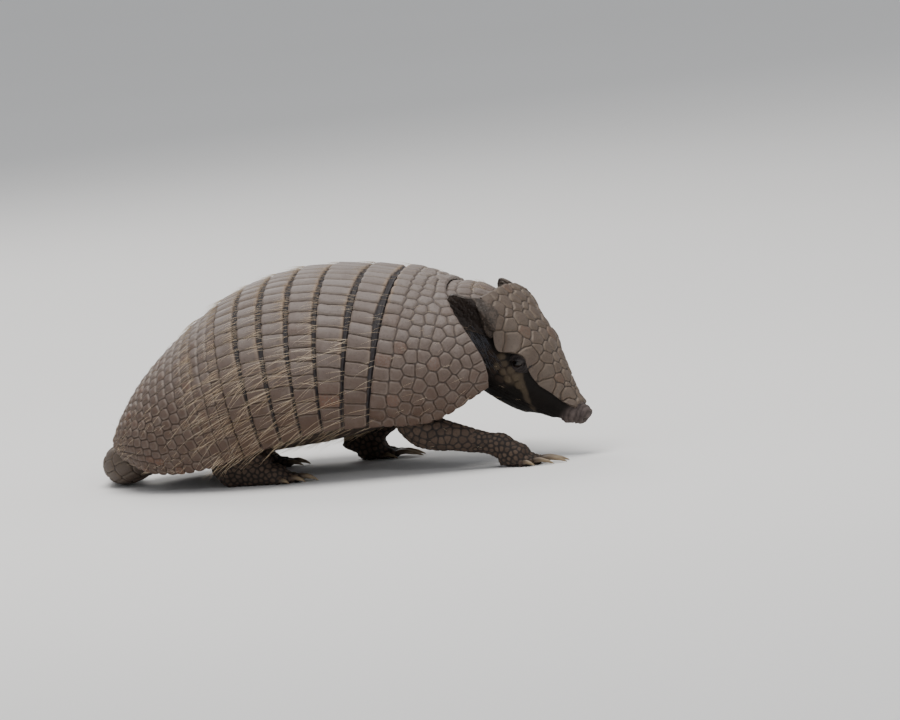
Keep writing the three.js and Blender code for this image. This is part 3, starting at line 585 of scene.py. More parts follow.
def shellPiece(name, front, rear, seeds, weights, seed, node, strips=0, spacing=relief["spacing"]):
    # A fine grid over the shell between two stations, raised by its plates and closed underneath. Behind the
    # front shield each piece starts with a low tongue of skin that runs forward under the piece before it.
    rng = np.random.default_rng(seed)
    walk = shellWalk(front, rear)
    lap = shell["lap"] if front else 0
    start = front - lap * (rear - front) / walk["lengths"][-1].mean()
    longest = walk["lengths"][-1].max() + lap
    rows = int(longest / spacing) + 1
    columns = int(2 * walk["halfRound"].mean() / spacing) + 1
    end = rear - shell["trim"] if rear < shell["last"] else rear
    u, share = np.meshgrid(np.linspace(start, end, rows), np.linspace(-1, 1, columns), indexing="ij")
    a = roundAt(share)
    base, normal = shellSurface(u, a), shellNormal(u, a)
    fromFront, fromRear, fromRim = edgeDistances(base, lap)
    height, border, owner = plateRelief(base.reshape(-1, 3), seeds, weights, rng)
    height, border = height.reshape(u.shape), border.reshape(u.shape)
    stripMask = np.zeros(u.shape)
    margin = 1 - easeStep(1.4, 3.2, fromRear)
    if strips:
        overStrip = pastStrip(base, share, fromFront, border, strips)
        stripMask = 1 - easeStep(-0.35, 0.35, overStrip)
        lines = 0.22 * np.sin(fromFront * 2.6 + 2 * roughness3d(base, 9, 5))
        wrinkles = (lines + 0.3 * roughness3d(base, 1.9, 4)) * stripMask
        height = height * (1 - stripMask) + wrinkles - bareStrip["depth"] * (1 - easeStep(-0.4, 1.1, overStrip))
        border = np.minimum(border, np.maximum(overStrip, 0))
        margin = easeStep(-0.2, 0.4, overStrip) * (1 - easeStep(1.8, 3.6, overStrip))
    slope = 1.5 * fromRear / np.maximum(fromFront[-1], 1)  # each front edge lies under the rear edge before it
    edge = np.minimum(fromRim, fromRear if lap else np.minimum(fromRear, fromFront))
    drop = relief["edgeDrop"] * (1 - easeStep(0, relief["edgeRound"], edge)) ** 1.5
    height = height + relief["lift"] - slope - drop + 0.12 * roughness3d(base, 7, 3)
    if lap:
        risen = easeStep(-0.1, 0.9, fromFront)
        height = height * risen - shell["lapDepth"] * (1 - risen)
        stripMask = np.maximum(stripMask, 1 - easeStep(0.3, 0.9, fromFront))
    top = scallop(base + normal * height[..., None], border, 0 if strips else 0.7, 1.8)
    tone = rng.uniform(0, 1, len(seeds))[owner].reshape(u.shape)
    # upper also carries the painted shade of the low flank and the painted light of the back
    upper = easeStep(0.1, 1.05, (base[..., 2] - 25) / 125)  # over the height of the flank
    piece = closedSheet(name, top, shellUnderside((u[0, 0], u[-1, 0]), lap), shellPaint,
        {"tone": tone, "groove": np.minimum(border / 2, 1), "strip": stripMask, "upper": upper,
            "margin": margin * upper})
    handOver(piece, [node])
    print(name, len(piece.data.polygons), "faces,", len(seeds), "plates")

# Rows: distance from the near edge, plate width, stagger and weight. The front shield's rows are counted from
# its rear edge, those of the bands and the rear shield from the front.
rng = np.random.default_rng(11)
scapularRows = [(6.8, 10.7, 0.0, 20)]
scapularRows += [(18.3 + 9.5 * k, 10.0, (0.38, 0.0, 0.3)[k % 3], 0) for k in range(10)]
seeds, weights = seedsOnShell(shellWalk(shell["firstBand"], 0), scapularRows, rng, 9.0, 9.5)
shellPiece("scapular_plates", 0, shell["firstBand"], seeds, weights, 21, "scapular_shield", spacing=0.68)
bandSpan = (shell["pelvic"] - shell["firstBand"]) / shell["bands"]
for band in range(shell["bands"]):
    front = shell["firstBand"] + band * bandSpan
    walk = shellWalk(front, front + bandSpan)
    bandRow = (walk["lengths"][-1].mean() * 0.6, 10.6, 0.5 * (band % 2), 0)
    seeds, weights = seedsOnShell(walk, [bandRow], rng, jitter=0.05)
    shellPiece(f"band_plates_{band + 1}", front, front + bandSpan, seeds, weights, 31 + band,
        f"band_{band + 1}", bareStrip["widths"][band])
pelvicRows = [(4.6 + 9.0 * k, 9.4 - 0.12 * k, 0.31 * k % 1, 0) for k in range(17)]
seeds, weights = seedsOnShell(shellWalk(shell["pelvic"], shell["last"]), pelvicRows, rng, 8.0, 8.5)
shellPiece("pelvic_plates", shell["pelvic"], shell["last"], seeds, weights, 41, "pelvic_shield", spacing=0.72)

# The head has a frame of its own, turned and set at the nape. The flesh is lofts that become one skin.

def turned(yaw, pitch, roll):
    # turns about x by roll, then about y by pitch, then about z by yaw
    y, p, r = (math.radians(v) for v in (yaw, pitch, roll))
    aboutZ = np.array([[math.cos(y), -math.sin(y), 0], [math.sin(y), math.cos(y), 0], [0, 0, 1]])
    aboutY = np.array([[math.cos(p), 0, math.sin(p)], [0, 1, 0], [-math.sin(p), 0, math.cos(p)]])
    aboutX = np.array([[1, 0, 0], [0, math.cos(r), -math.sin(r)], [0, math.sin(r), math.cos(r)]])
    return aboutZ @ aboutY @ aboutX

head = {
    "nape": np.array([320, -8, 134.0]), "turn": turned(-13, 52, 6),
    # x, top, bottom, half width
    "stations": np.array([(3, -5, -58, 27), (20, -3, -67, 32.5), (42, -2, -68, 33), (62, -3, -63.5, 28),
        (80, -7, -56, 20), (94, -10, -44, 14), (105, -12, -36.5, 11), (112, -11.5, -33, 10),
        (116.5, -10.5, -28.5, 9.6), (119.6, -12, -25.5, 8.2), (121.6, -14.5, -22.5, 5.5)]),
    # the shield over it: x, top, half width, drop, bend
    "shield": np.array([(0, 0, 27, 5, 2.2), (12, 1.5, 33.5, 5, 2.4), (24, 2.5, 36, 9, 2.8),
        (33, 2.5, 36.5, 18, 3.4), (42, 2, 35.5, 21.5, 3.8), (50, 1.5, 32.5, 13.5, 3.3), (58, 0.5, 29, 10, 3),
        (66, -1.5, 26, 13.7, 3.2), (74, -3, 23, 15.8, 3.2), (80, -4.8, 20.6, 15.2, 3.2), (88, -7, 17.2, 12, 3),
        (100, -10, 13, 8, 2.6), (106, -11, 11, 5, 2.4), (110, -11, 9.5, 2.5, 2.2)]),
    "shieldThickness": 2.6,
    "mouth": np.array([(44, -52), (52, -50), (60, -47), (78, -42), (96, -38), (106, -36), (116, -32)]),
    "nostril": np.array([121.6, 3.8, -18.6]),
    # small pale plates behind and under the eye: x and z; and the paler streak from the eye down to the jaw
    "cheekPlates": np.array([(45.5, -23.4), (50.6, -26), (48.6, -30.6), (54.6, -30.4), (57.4, -26.8),
        (60.8, -32.6), (63.6, -28.4), (69.6, -31)]),
    "streak": np.array([(64.5, -24), (70, -28), (76, -33), (83, -38), (89, -42)]),
    "eye": np.array([57, 24.9, -17.4]), "eyeRadius": 5.2,
}

def fromHead(points):
    # from the head's own frame, with its origin at the nape and x along the snout, to the solids' frame
    return points @ head["turn"].T + head["nape"]

def toHead(points):
    # the other way: less the nape, times the turn's inverse, which is its transpose
    return (points - head["nape"]) @ head["turn"]

def ringsThrough(table, u, sides, roundness=2.0, squashBelow=None):
    # A tube along a path: rows of a table hold x, y, z, half width across and half height. Each ring is a
    # superellipse across the path's direction.
    rows = smoothAt(table, u)
    centre, across, high = rows[:, :3], rows[:, 3], rows[:, 4]
    ahead = unit(np.gradient(centre, axis=0))
    guide = np.where(np.abs(ahead[:, 2:]) > 0.9, [[1.0, 0, 0]], [[0, 0, 1.0]])
    side = unit(np.cross(guide, ahead))
    up = np.cross(ahead, side)
    angle = np.arange(sides) / sides * 2 * math.pi
    c, s = signedPower(np.cos(angle), 2 / roundness), signedPower(np.sin(angle), 2 / roundness)
    sideways = side[:, None] * (across[:, None] * c)[..., None]
    rings = centre[:, None] + sideways + up[:, None] * (high[:, None] * s)[..., None]
    if squashBelow is not None:
        rings[..., 2] = np.maximum(rings[..., 2], squashBelow)
    return rings

def closedLoft(rings):
    # points and faces through rings of equal length, with a fan over each end
    count, sides = rings.shape[:2]
    points = np.vstack([rings.reshape(-1, 3), rings[0].mean(0), rings[-1].mean(0)])
    j = np.arange(sides)
    k = (j + 1) % sides
    first, last = count * sides, count * sides + 1
    caps = np.vstack([np.stack([np.full(sides, first), k, j], -1),
        np.stack([np.full(sides, last), (count - 1) * sides + j, (count - 1) * sides + k], -1)])
    return points, [gridFaces(count, sides, wrap=True), caps]

flesh = {
    # fineness in millimetres, rounds of smoothing, and the share of the faces kept where the shell hides them
    "voxel": 1.98, "smoothing": 4, "hiddenTo": 266, "hiddenAbove": 74, "kept": 0.62,
    # height of the belly's underside at each station of the shell, and how much of the shell's width it has
    "belly": np.array([66, 46, 34, 27, 23, 21, 20, 18, 20, 25.0]), "bellyWidth": 0.86,
    "neck": np.array([(255, 0, 98, 74, 44), (270, -0.5, 96, 68, 41), (286, -1.5, 94.5, 58, 38),
        (302, -4, 93, 42, 36), (318, -7, 91.5, 29, 32)]),
    # each leg: shoulder or hip to wrist, x, y, z and radius twice
    "legs": {
        "rightFore": [(238, -46, 70, 19, 20), (249, -55, 50, 17, 18), (261, -60, 33, 14, 14.5),
            (287, -61, 25, 10.2, 10.4), (306, -60.5, 20, 8.8, 8.6), (321, -60, 16, 9.4, 8)],
        "leftFore": [(226, 46, 68, 19, 20), (217, 56, 48, 17, 18), (207, 61, 35, 14.5, 14),
            (194, 61, 24, 11, 11), (184, 60.5, 16, 9.4, 9), (182, 60, 11, 9.5, 8)],
        "rightHind": [(96, -34, 60, 25, 25), (112, -48, 46, 22, 22), (127, -56, 33, 17.5, 17.5),
            (115, -55, 23, 13, 13), (104, -53, 15, 10, 10.5), (98, -51.5, 11, 9.5, 9.5)],
        "leftHind": [(84, 34, 58, 25, 25), (98, 47, 45, 22, 22), (110, 55, 33, 17.5, 17.5),
            (92, 53, 23, 13, 13), (76, 49, 15, 10, 10.5), (68, 47.5, 11, 9.5, 9.5)]},
    # heel, toe roots, half width, kind and side
    "feet": {"rightFore": ((315, -60, 13.5), (335, -61, 7.5), 12, "fore", -1),
        "leftFore": ((178, 60, 12), (199, 61, 7.5), 12, "fore", 1),
        "rightHind": ((97, -51, 11), (144, -55, 7), 11.5, "hind", -1),
        "leftHind": ((67, 47, 11), (114, 52, 7), 11.5, "hind", 1)},
    # across, set back, toe length, claw length, radius, spread in degrees
    "toes": {"fore": [(-0.95, 8, 9, 12, 3.4, -22), (-0.5, 2, 13, 21, 4.1, -8), (0.02, 0, 13, 19, 4.2, 0),
            (0.52, 3, 11, 16, 4, 8), (1, 8, 9, 10, 3.4, 21)],
        "hind": [(-0.98, 9, 9, 8, 3.3, -16), (-0.5, 3, 13, 12, 4, -5), (0.02, 0, 14, 13, 4.2, 0),
            (0.52, 4, 12, 11, 4, 6), (1.02, 9, 9, 8, 3.3, 18)]},
}

def trunkRings():
    # Under the shell the flesh keeps clear of it. Below, a deep curve closes the belly: across it goes with the
    # cosine and down with the sine, each to a power, from the shell's edge to the belly's underside.
    u = np.linspace(0.45, 8.5, 40)
    a = np.linspace(-0.8, 0.8, 33)
    uu, aa = np.meshgrid(u, a, indexing="ij")
    over = shellSurface(uu, aa) - shellNormal(uu, aa) * 6.5
    edge = over[:, -1:]
    lowered = np.interp(u, [0.5, 1.3, 2.2, 7.2, 8.3], [1, 1, 0.6, 0.6, 1])[:, None]
    over[..., 2] = edge[..., 2] + (over[..., 2] - edge[..., 2]) * lowered
    angle = np.linspace(0, math.pi, 26)[1:-1]
    depth = edge[..., 2] - smoothAt(flesh["belly"][:, None], u)
    c, s = np.cos(angle), np.sin(angle)
    width = flesh["bellyWidth"] + (1 - flesh["bellyWidth"]) * np.abs(c)
    x = np.broadcast_to(edge[..., 0], (len(u), len(angle)))
    under = np.stack([x, edge[..., 1] * width * signedPower(c, 0.85), edge[..., 2] - depth * s ** 0.8], -1)
    return np.concatenate([over, under], axis=1)

def headRings():
    # superellipses between top and bottom at each station, narrower above and below the middle
    u = np.linspace(0, len(head["stations"]) - 1, 60)
    x, top, bottom, half = (v[:, None] for v in smoothAt(head["stations"], u).T)
    angle = np.arange(64) / 64 * 2 * math.pi
    high = signedPower(np.sin(angle), 0.85)
    narrowing = 1 - 0.12 * high ** 2 - 0.16 * np.where(high < 0, high ** 2, 0)
    return fromHead(np.stack([x + 0 * high, half * narrowing * signedPower(np.cos(angle), 0.8),
        (top + bottom) / 2 - 0.6 + (top - bottom) / 2 * high], -1))

def footAxes(foot):
    # the foot's numbers with its level directions forward and outward
    heel, toes, half, kind, side = foot
    heel, toes = np.array(heel, float), np.array(toes, float)
    forward = unit((toes - heel) * [1, 1, 0])
    outer = unit(np.array([0, side, 0]) - forward * side * forward[1])
    return heel, toes, half, kind, forward, outer

def footLofts(foot):
    # the sole narrows to the heel, rounded above and flat on the floor; each toe is a short tube bent down
    heel, toes, half, kind, forward, outer = footAxes(foot)

    def soleRow(share, width, top):
        at = heel + (toes - heel) * share
        return (at[0], at[1], top / 2 - 0.4, width, top / 2 + 0.4)

    sole = np.array([soleRow(-0.08, half * 0.4, 1.3 * heel[2]), soleRow(0.05, half * 0.7, 2 * heel[2]),
        soleRow(0.5, half * 0.84, heel[2] + toes[2]), soleRow(0.9, half, 2.2 * toes[2]),
        soleRow(1.04, half * 0.6, 1.7 * toes[2])])
    lofts = [closedLoft(ringsThrough(sole, np.linspace(0, 4, 24), 28, 2.3, 0))]
    claws = []
    for across, back, toe, claw, radius, spread in flesh["toes"][kind]:
        ahead = unit(forward + outer * math.tan(math.radians(spread)))
        root = toes + outer * across * half * 0.8 - ahead * back

        def toeRow(distance, height, r):
            at = root + ahead * distance
            return (at[0], at[1], height, r, r)

        tube = np.array([toeRow(-5, radius + 1.4, radius * 0.85),
            toeRow(toe * 0.15, radius + 2.2, radius * 1.02), toeRow(toe * 0.55, radius + 0.6, radius * 0.94),
            toeRow(toe * 0.9, radius * 0.85, radius * 0.98), toeRow(toe + 2.2, radius * 0.75, radius * 0.62)])
        lofts.append(closedLoft(ringsThrough(tube, np.linspace(0, 4, 20), 18, 2, 0)))
        claws.append((root + ahead * (toe + 0.6), ahead, claw + 1.4, radius))
    return lofts, claws

def joinedFlesh():
    # trunk, neck, head, legs and feet are closed lofts that overlap; a voxel remesh makes one skin of them
    lofts = [closedLoft(trunkRings()), closedLoft(ringsThrough(flesh["neck"], np.linspace(0, 4, 24), 48, 2.15)),
        closedLoft(headRings())]
    for name, leg in flesh["legs"].items():
        lofts.append(closedLoft(ringsThrough(np.array(leg, float), np.linspace(0, 5, 30), 32)))
        lofts += footLofts(flesh["feet"][name])[0]
    points, faceSets, first = [], [], 0
    for some, faces in lofts:
        points.append(some)
        faceSets += [f + first for f in faces]
        first += len(some)
    mesh = bpy.data.meshes.new("skin")
    metres = (np.vstack(points) - shift) / 1000
    mesh.from_pydata(metres.tolist(), [], [f.tolist() for faces in faceSets for f in faces])
    body = bpy.data.objects.new("skin", mesh)
    bpy.context.scene.collection.objects.link(body)
    grown = body.modifiers.new("one skin", "REMESH")
    grown.mode, grown.voxel_size = "VOXEL", flesh["voxel"] / 1000
    softened = body.modifiers.new("soften", "SMOOTH")
    softened.factor, softened.iterations = 0.5, flesh["smoothing"]
    settle(body)
    # under the shell the skin never shows, so only there the mesh is made coarser
    points = pointsOf(body.data)
    hidden = np.flatnonzero((points[:, 0] < flesh["hiddenTo"]) & (points[:, 2] > flesh["hiddenAbove"]))
    body.vertex_groups.new(name="hidden").add(hidden.tolist(), 1, "REPLACE")
    thinned = body.modifiers.new("coarser under the shell", "DECIMATE")
    thinned.ratio, thinned.vertex_group = flesh["kept"], "hidden"
    settle(body)
    body.vertex_groups.clear()
    print("hidden skin", len(hidden), "points of", len(points))
    return body

def settle(body):
    # the modifiers' result becomes the mesh
    shaped = bpy.data.meshes.new_from_object(body.evaluated_get(bpy.context.evaluated_depsgraph_get()))
    body.modifiers.clear()
    body.data = shaped

def pointsOf(mesh):
    # the mesh's points in millimetres of the solids' frame
    flat = np.zeros(len(mesh.vertices) * 3, np.float32)
    mesh.vertices.foreach_get("co", flat)
    return flat.reshape(-1, 3).astype(float) * 1000 + shift

def vertexNormals(mesh):
    flat = np.zeros(len(mesh.vertices) * 3, np.float32)
    mesh.vertex_normals.foreach_get("vector", flat)
    return flat.reshape(-1, 3).astype(float)

def refine(body, wanted):
    # splits the edges of the places that need fine detail: wanted takes points and says which
    fine = wanted(pointsOf(body.data))
    work = bmesh.new()
    work.from_mesh(body.data)
    work.verts.ensure_lookup_table()
    edges = [e for e in work.edges if fine[e.verts[0].index] and fine[e.verts[1].index]]
    bmesh.ops.subdivide_edges(work, edges=edges, cuts=1, use_grid_fill=True, smooth=0.6)
    bmesh.ops.triangulate(work, faces=[f for f in work.faces if len(f.verts) > 4])
    work.to_mesh(body.data)
    work.free()

def scatter(points, spacing, rng):
    # points kept one after another in random order, each clear of the last ones by the spacing
    left = points[rng.permutation(len(points))]
    kept = []
    while len(left):
        kept.append(left[0])
        left = left[np.sum((left - left[0]) ** 2, axis=1) > spacing ** 2]
    return np.array(kept)

# The skin's colours and its scales, folds, mouth and nostrils.

def skinMaterial():
    # bare leathery skin, paler on the scaly parts, with painted shade in creases and folds, a painted blue-grey
    # highlight on the neck folds' crests, and almost black on the jaw
    paint = Paint("skin")
    scale, groove, tone = paint.carried("scale"), paint.carried("groove"), paint.carried("tone")
    dark, creaseShade, light = paint.carried("dark"), paint.carried("creaseShade"), paint.carried("light")
    foldCrestHighlight, pad = paint.carried("foldCrestHighlight"), paint.carried("pad")
    cloud, fine = paint.noise(12, 4), paint.noise(1.8, 4)
    base = paint.mix(cloud.ease(0.3, 0.7), tint(34, 28, 25), tint(50, 43, 39))
    scaly = paint.mix(tone * 0.7 + 0.3 * cloud, tint(60, 48, 40), tint(84, 69, 58))
    base = paint.mix(scale * groove.ease(0.1, 0.5), base, scaly)
    base = paint.mix(scale * (1 - groove.ease(0.02, 0.3)) * 0.5, base, tint(24, 19, 16))
    # painted highlight: blue-grey on the crests of the neck's folds
    base = paint.mix(foldCrestHighlight * 0.6, base, tint(84, 80, 84))
    base = paint.mix(dark, base, paint.mix(cloud, tint(12, 8, 5), tint(20, 14, 10)))
    base = paint.mix(light, base, paint.mix(cloud, tint(62, 52, 42), tint(92, 80, 64)))
    base = paint.mix(pad, base, paint.mix(cloud.ease(0.3, 0.7), tint(60, 51, 49), tint(95, 84, 80)))
    # painted shade in the mouth's crease, the troughs of the neck and nose folds, and the nostrils
    base = paint.mix(creaseShade * 0.75, base, tint(24, 19, 17))
    base = paint.mix(fine.ease(0.5, 0.72) * 0.4 * (1 - dark * 0.85), base, tint(36, 29, 26))
    relief = fine * 0.6 + paint.pebbles(1.4) * 0.6 + paint.noise(0.7, 2) * 0.3
    return paint.finish(base, 0.62 + 0.2 * cloud, relief, 0.34, Specular_IOR_Level=0.22)

skinPaint = skinMaterial()

def legMask(points):
    # near a leg's own path, and clear of the belly
    mask = np.zeros(len(points))
    for leg in flesh["legs"].values():
        rows = smoothAt(np.array(leg, float), np.linspace(1.4, 5, 14))
        gap = np.linalg.norm(points[:, None] - rows[None, :, :3], axis=-1) - rows[:, 3]
        mask = np.maximum(mask, 1 - easeStep(2, 9, gap.min(1)))
    return mask

def footMask(points):
    # near the foot's line from the heel to past the toe roots, and low down
    mask = np.zeros(len(points))
    for foot in flesh["feet"].values():
        heel, toes, half, _, forward, _ = footAxes(foot)
        along = np.clip((points - heel) @ forward, 0, np.linalg.norm((toes - heel)[:2]) + 18)
        near = np.linalg.norm((points - heel - along[:, None] * forward) * [1, 1, 0.5], axis=1)
        mask = np.maximum(mask, (1 - easeStep(half + 4, half + 11, near)) * (points[:, 2] < 30))
    return mask

def showsDetail(points):
    # the face below the head shield's edge, and the legs below the shell
    local = toHead(points)
    shieldEdge = np.interp(local[:, 0], head["shield"][:, 0], head["shield"][:, 1] - head["shield"][:, 3])
    face = (local[:, 0] > 4) & (np.abs(local[:, 1]) < 45) & (local[:, 2] < shieldEdge + 3)
    return face | ((legMask(points) + footMask(points) > 0.3) & (points[:, 2] < 62))

def sculptSkin(body):
    # Moves each point along its normal by the heights of scales, folds, lips and nose, and then some of the
    # head's points in its own frame. What is where also goes onto the mesh, for the skin's colours.
    refine(body, showsDetail)
    points, normals = pointsOf(body.data), vertexNormals(body.data)
    local = toHead(points)
    x, y, z = local.T
    rng = np.random.default_rng(51)
    inHead = easeStep(0, 12, x) * (np.abs(y) < 46)
    legs, feet = legMask(points), footMask(points)
    belly = easeStep(0.3, 0.7, -normals[:, 2]) * (1 - legs) * (1 - feet) * (1 - inHead) * (points[:, 2] < 60)
    # scales: cheeks behind and below the eye, legs, feet and the belly's rows of small plates
    cheek = inHead * easeStep(28, 34, x) * (1 - easeStep(60, 68, x))
    cheek = cheek * easeStep(-46, -38, z) * (1 - easeStep(-27, -22, z))
    scaly = np.maximum.reduce([cheek, legs * 0.9, feet, belly * 0.6])
    height, groove, tone = np.zeros(len(points)), np.ones(len(points)), np.full(len(points), 0.5)
    onLegs = np.maximum(legs - feet, 0)
    for mask, spacing, rise in ((cheek, 6.2, 0.55), (onLegs, 4.8, 0.5), (feet, 3.5, 0.4), (belly, 7.5, 0.35)):
        own = (mask > 0.05) & (mask >= np.maximum.reduce([cheek, legs - feet, feet, belly]) - 1e-9)
        seeds = scatter(points[own], spacing, rng)
        owner, border = plateCells(points[own], seeds, np.zeros(len(seeds)))
        height[own] = mask[own] * rise * (easeStep(0, 1.3, border) - 0.6)
        groove[own] = np.minimum(border / 2, 1)
        tone[own] = rng.uniform(0, 1, len(seeds))[owner]
    # wrinkles everywhere, drawn out across the neck, and finer on the head
    neck = easeStep(262, 280, points[:, 0]) * (1 - easeStep(6, 22, x)) * (np.abs(points[:, 1]) < 80)
    folds = np.sin(z * 1.25 + 0.25 * x + 3.2 * roughness3d(points, 13, 8)) * neck
    height += 0.55 * folds + 0.35 * roughness3d(points, 7, 9) + 0.2 * roughness3d(points, 3, 10)
    # mouth: a groove with the lips swelling above and below
    line = np.interp(x, head["mouth"][:, 0], head["mouth"][:, 1])
    inMouth = easeStep(50, 60, x) * (1 - easeStep(114, 118, x)) * (normals @ head["turn"][:, 0] < 0.75)
    crease = np.exp(-((z - line) / 1.0) ** 2) * inMouth
    lips = 0.55 * np.exp(-((z - line - 2.6) / 1.5) ** 2) + 0.45 * np.exp(-((z - line + 2.4) / 1.5) ** 2)
    height += inMouth * lips - 1.5 * crease
    # the pale small plates by the eye, the streak under it and the nose pad; the rest of the face is dark
    across = np.stack([x, z], -1)
    smallSeeds = head["cheekPlates"]
    gaps = np.linalg.norm(across[:, None] - smallSeeds, axis=-1).min(1) + 0.6 * roughness3d(points, 3, 14)
    between = plateCells(across, smallSeeds, np.zeros(len(smallSeeds)))[1]
    smallPlates = (1 - easeStep(2.7, 3.9, gaps)) * easeStep(0.1, 0.9, between) * inHead
    way = smoothAt(head["streak"], np.linspace(0, len(head["streak"]) - 1, 24))
    fromWay = np.linalg.norm(across[:, None] - way, axis=-1).min(1) + roughness3d(points, 4, 12)
    streak = 1 - easeStep(1.2, 3.0, fromWay)
    around = 0.45 * (1 - easeStep(4, 9, np.hypot(x - 62, z + 29)))
    light = inHead * np.maximum.reduce([smallPlates * 0.9, streak * 0.75, around]) * (np.abs(y) > 8)
    pad = easeStep(104, 110, x) * inHead
    dark = inHead * easeStep(18, 38, x) * (1 - 0.4 * cheek)
    noseFolds = np.sin(x * 1.5 + 0.5 * z + 4 * roughness3d(points, 6, 13)) * pad
    height += 0.7 * smallPlates + 0.3 * noseFolds
    # where painted shade goes: the mouth's crease and the troughs of the neck and nose folds; the nostrils
    # follow
    creaseShade = np.maximum.reduce([0.9 * crease, 0.8 * easeStep(0.35, 0.95, -folds),
        0.6 * easeStep(0.3, 1, -noseFolds)])
    local = local + (normals @ head["turn"]) * height[:, None]
    # the lower jaw stops short of the snout
    local[:, 2] += 1.6 * np.exp(-((x - 107) / 2.6) ** 2) * (1 - easeStep(-33, -29, z)) * inHead
    local[:, 2] += 1.3 * np.exp(-((x - 115.8) / 1.6) ** 2) * (1 - easeStep(-26, -21, z)) * inHead
    # sockets sink where the eyes lie, and the nostrils sink inside a low swollen ring
    for side in (-1, 1):
        eyeAt = head["eye"] * [1, side, 1]
        sunk = np.hypot(x - eyeAt[0], z - eyeAt[2])
        local[:, 1] -= side * 3.0 * (1 - easeStep(4.0, 8.0, sunk)) * (y * side > 12)
        nostrilAt = head["nostril"] * [1, side, 1]
        nostril = np.linalg.norm(local - nostrilAt, axis=1)
        local[:, 0] -= 2.4 * np.exp(-(nostril / 1.7) ** 2)
        creaseShade = np.maximum(creaseShade, np.exp(-(nostril / 1.9) ** 2) * 0.95)
        local += (local - nostrilAt) * (0.1 * np.exp(-((nostril - 3.3) / 1.2) ** 2))[:, None]
    onHead = ((inHead > 0) | (neck > 0))[:, None]
    points = np.where(onHead, fromHead(local), points + normals * height[:, None])
    points[:, 2] = np.maximum(points[:, 2], 0)  # the floor
    mesh = body.data
    mesh.vertices.foreach_set("co", ((points - shift) / 1000).astype(np.float32).ravel())
    # the fold crests carry a painted highlight, the creases painted shade
    facts = {"scale": scaly, "groove": groove, "tone": tone, "dark": dark, "creaseShade": creaseShade, "light": light,
        "pad": pad, "foldCrestHighlight": easeStep(0.2, 0.9, folds)}
    for key, values in facts.items():
        mesh.attributes.new(key, "FLOAT", "POINT").data.foreach_set("value", values.astype(np.float32))
    mesh.polygons.foreach_set("use_smooth", np.ones(len(mesh.polygons), bool))
    mesh.materials.clear()
    mesh.materials.append(skinPaint)
    mesh.update()

skin = joinedFlesh()
sculptSkin(skin)
legParts = ("upper_arm", "forearm", "forefoot", "thigh", "shank", "hind_foot")
legNodes = [f"{side}_{part}" for side in ("right", "left") for part in legParts]
handOver(skin, ["trunk", "neck", "head", "lower_jaw", *legNodes])
print("skin", len(skin.data.polygons), "faces")

# The head shield and the plates on the nape.

# edge: pale rims, partly painted highlight; groove: fine pits and painted shade in the grooves; strip: also
# painted shade at the grooves' bottom
headPaint = plateMaterial("head plates", {
    "low": tint(76, 64, 54), "high": tint(92, 80, 70), "warm": tint(76, 61, 50),
    "pale": tint(104, 92, 81), "edge": tint(114, 99, 84), "rust": tint(126, 76, 46),
    "margin": tint(126, 92, 66), "groove": tint(50, 41, 34), "strip": tint(28, 22, 18),
    "skin": tint(50, 44, 40)})

def reliefSheet(name, surface, seeds, settings, thickness, underSize, material, nodes, seed, upper,
        edgeSteps):
    # A curved plate field of its own: surface is a grid of points, raised along its normals by its plates. The
    # edge steps are the rough millimetres between its rows and between its columns.
    rng = np.random.default_rng(seed)
    normals = normalsOf(surface, surface.mean((0, 1)) - [0, 0, 30])
    weights = rng.uniform(-1, 1, len(seeds)) * settings["vary"]
    height, border, owner = plateRelief(surface.reshape(-1, 3), seeds, weights, rng, settings)
    rows, columns = surface.shape[:2]
    i, j = np.meshgrid(np.arange(rows), np.arange(columns), indexing="ij")
    alongStep, acrossStep = edgeSteps
    edge = np.minimum(np.minimum(i, rows - 1 - i) * alongStep, np.minimum(j, columns - 1 - j) * acrossStep)
    drop = settings["edgeDrop"] * (1 - easeStep(0, settings["edgeRound"], edge)) ** 1.5
    height, border = height.reshape(rows, columns) - drop, border.reshape(rows, columns)
    top = scallop(surface + normals * (height + settings["lift"])[..., None], border, 1.6, 2.2)
    pick = [np.linspace(0, n - 1, m).round().astype(int) for n, m in zip((rows, columns), underSize)]
    under = (surface - normals * thickness)[np.ix_(*pick)]
    tone = rng.uniform(0, 1, len(seeds))[owner].reshape(rows, columns)
    piece = closedSheet(name, top, under, material, {"tone": tone, "groove": np.minimum(border / 2, 1),
        "strip": np.zeros((rows, columns)), "upper": np.full((rows, columns), upper)})
    handOver(piece, nodes)
    print(name, len(piece.data.polygons), "faces,", len(seeds), "plates")

def headSurface(x, t):
    # across the forehead the shield falls by drop times the share of the way out, to the power bend
    row = smoothAt(head["shield"], stationOf(head["shield"][:, 0], x))
    top, half, drop, bend = (row[..., k] for k in range(1, 5))
    return fromHead(np.stack([x + 0 * t, t * half, top - drop * np.abs(t) ** bend], -1))

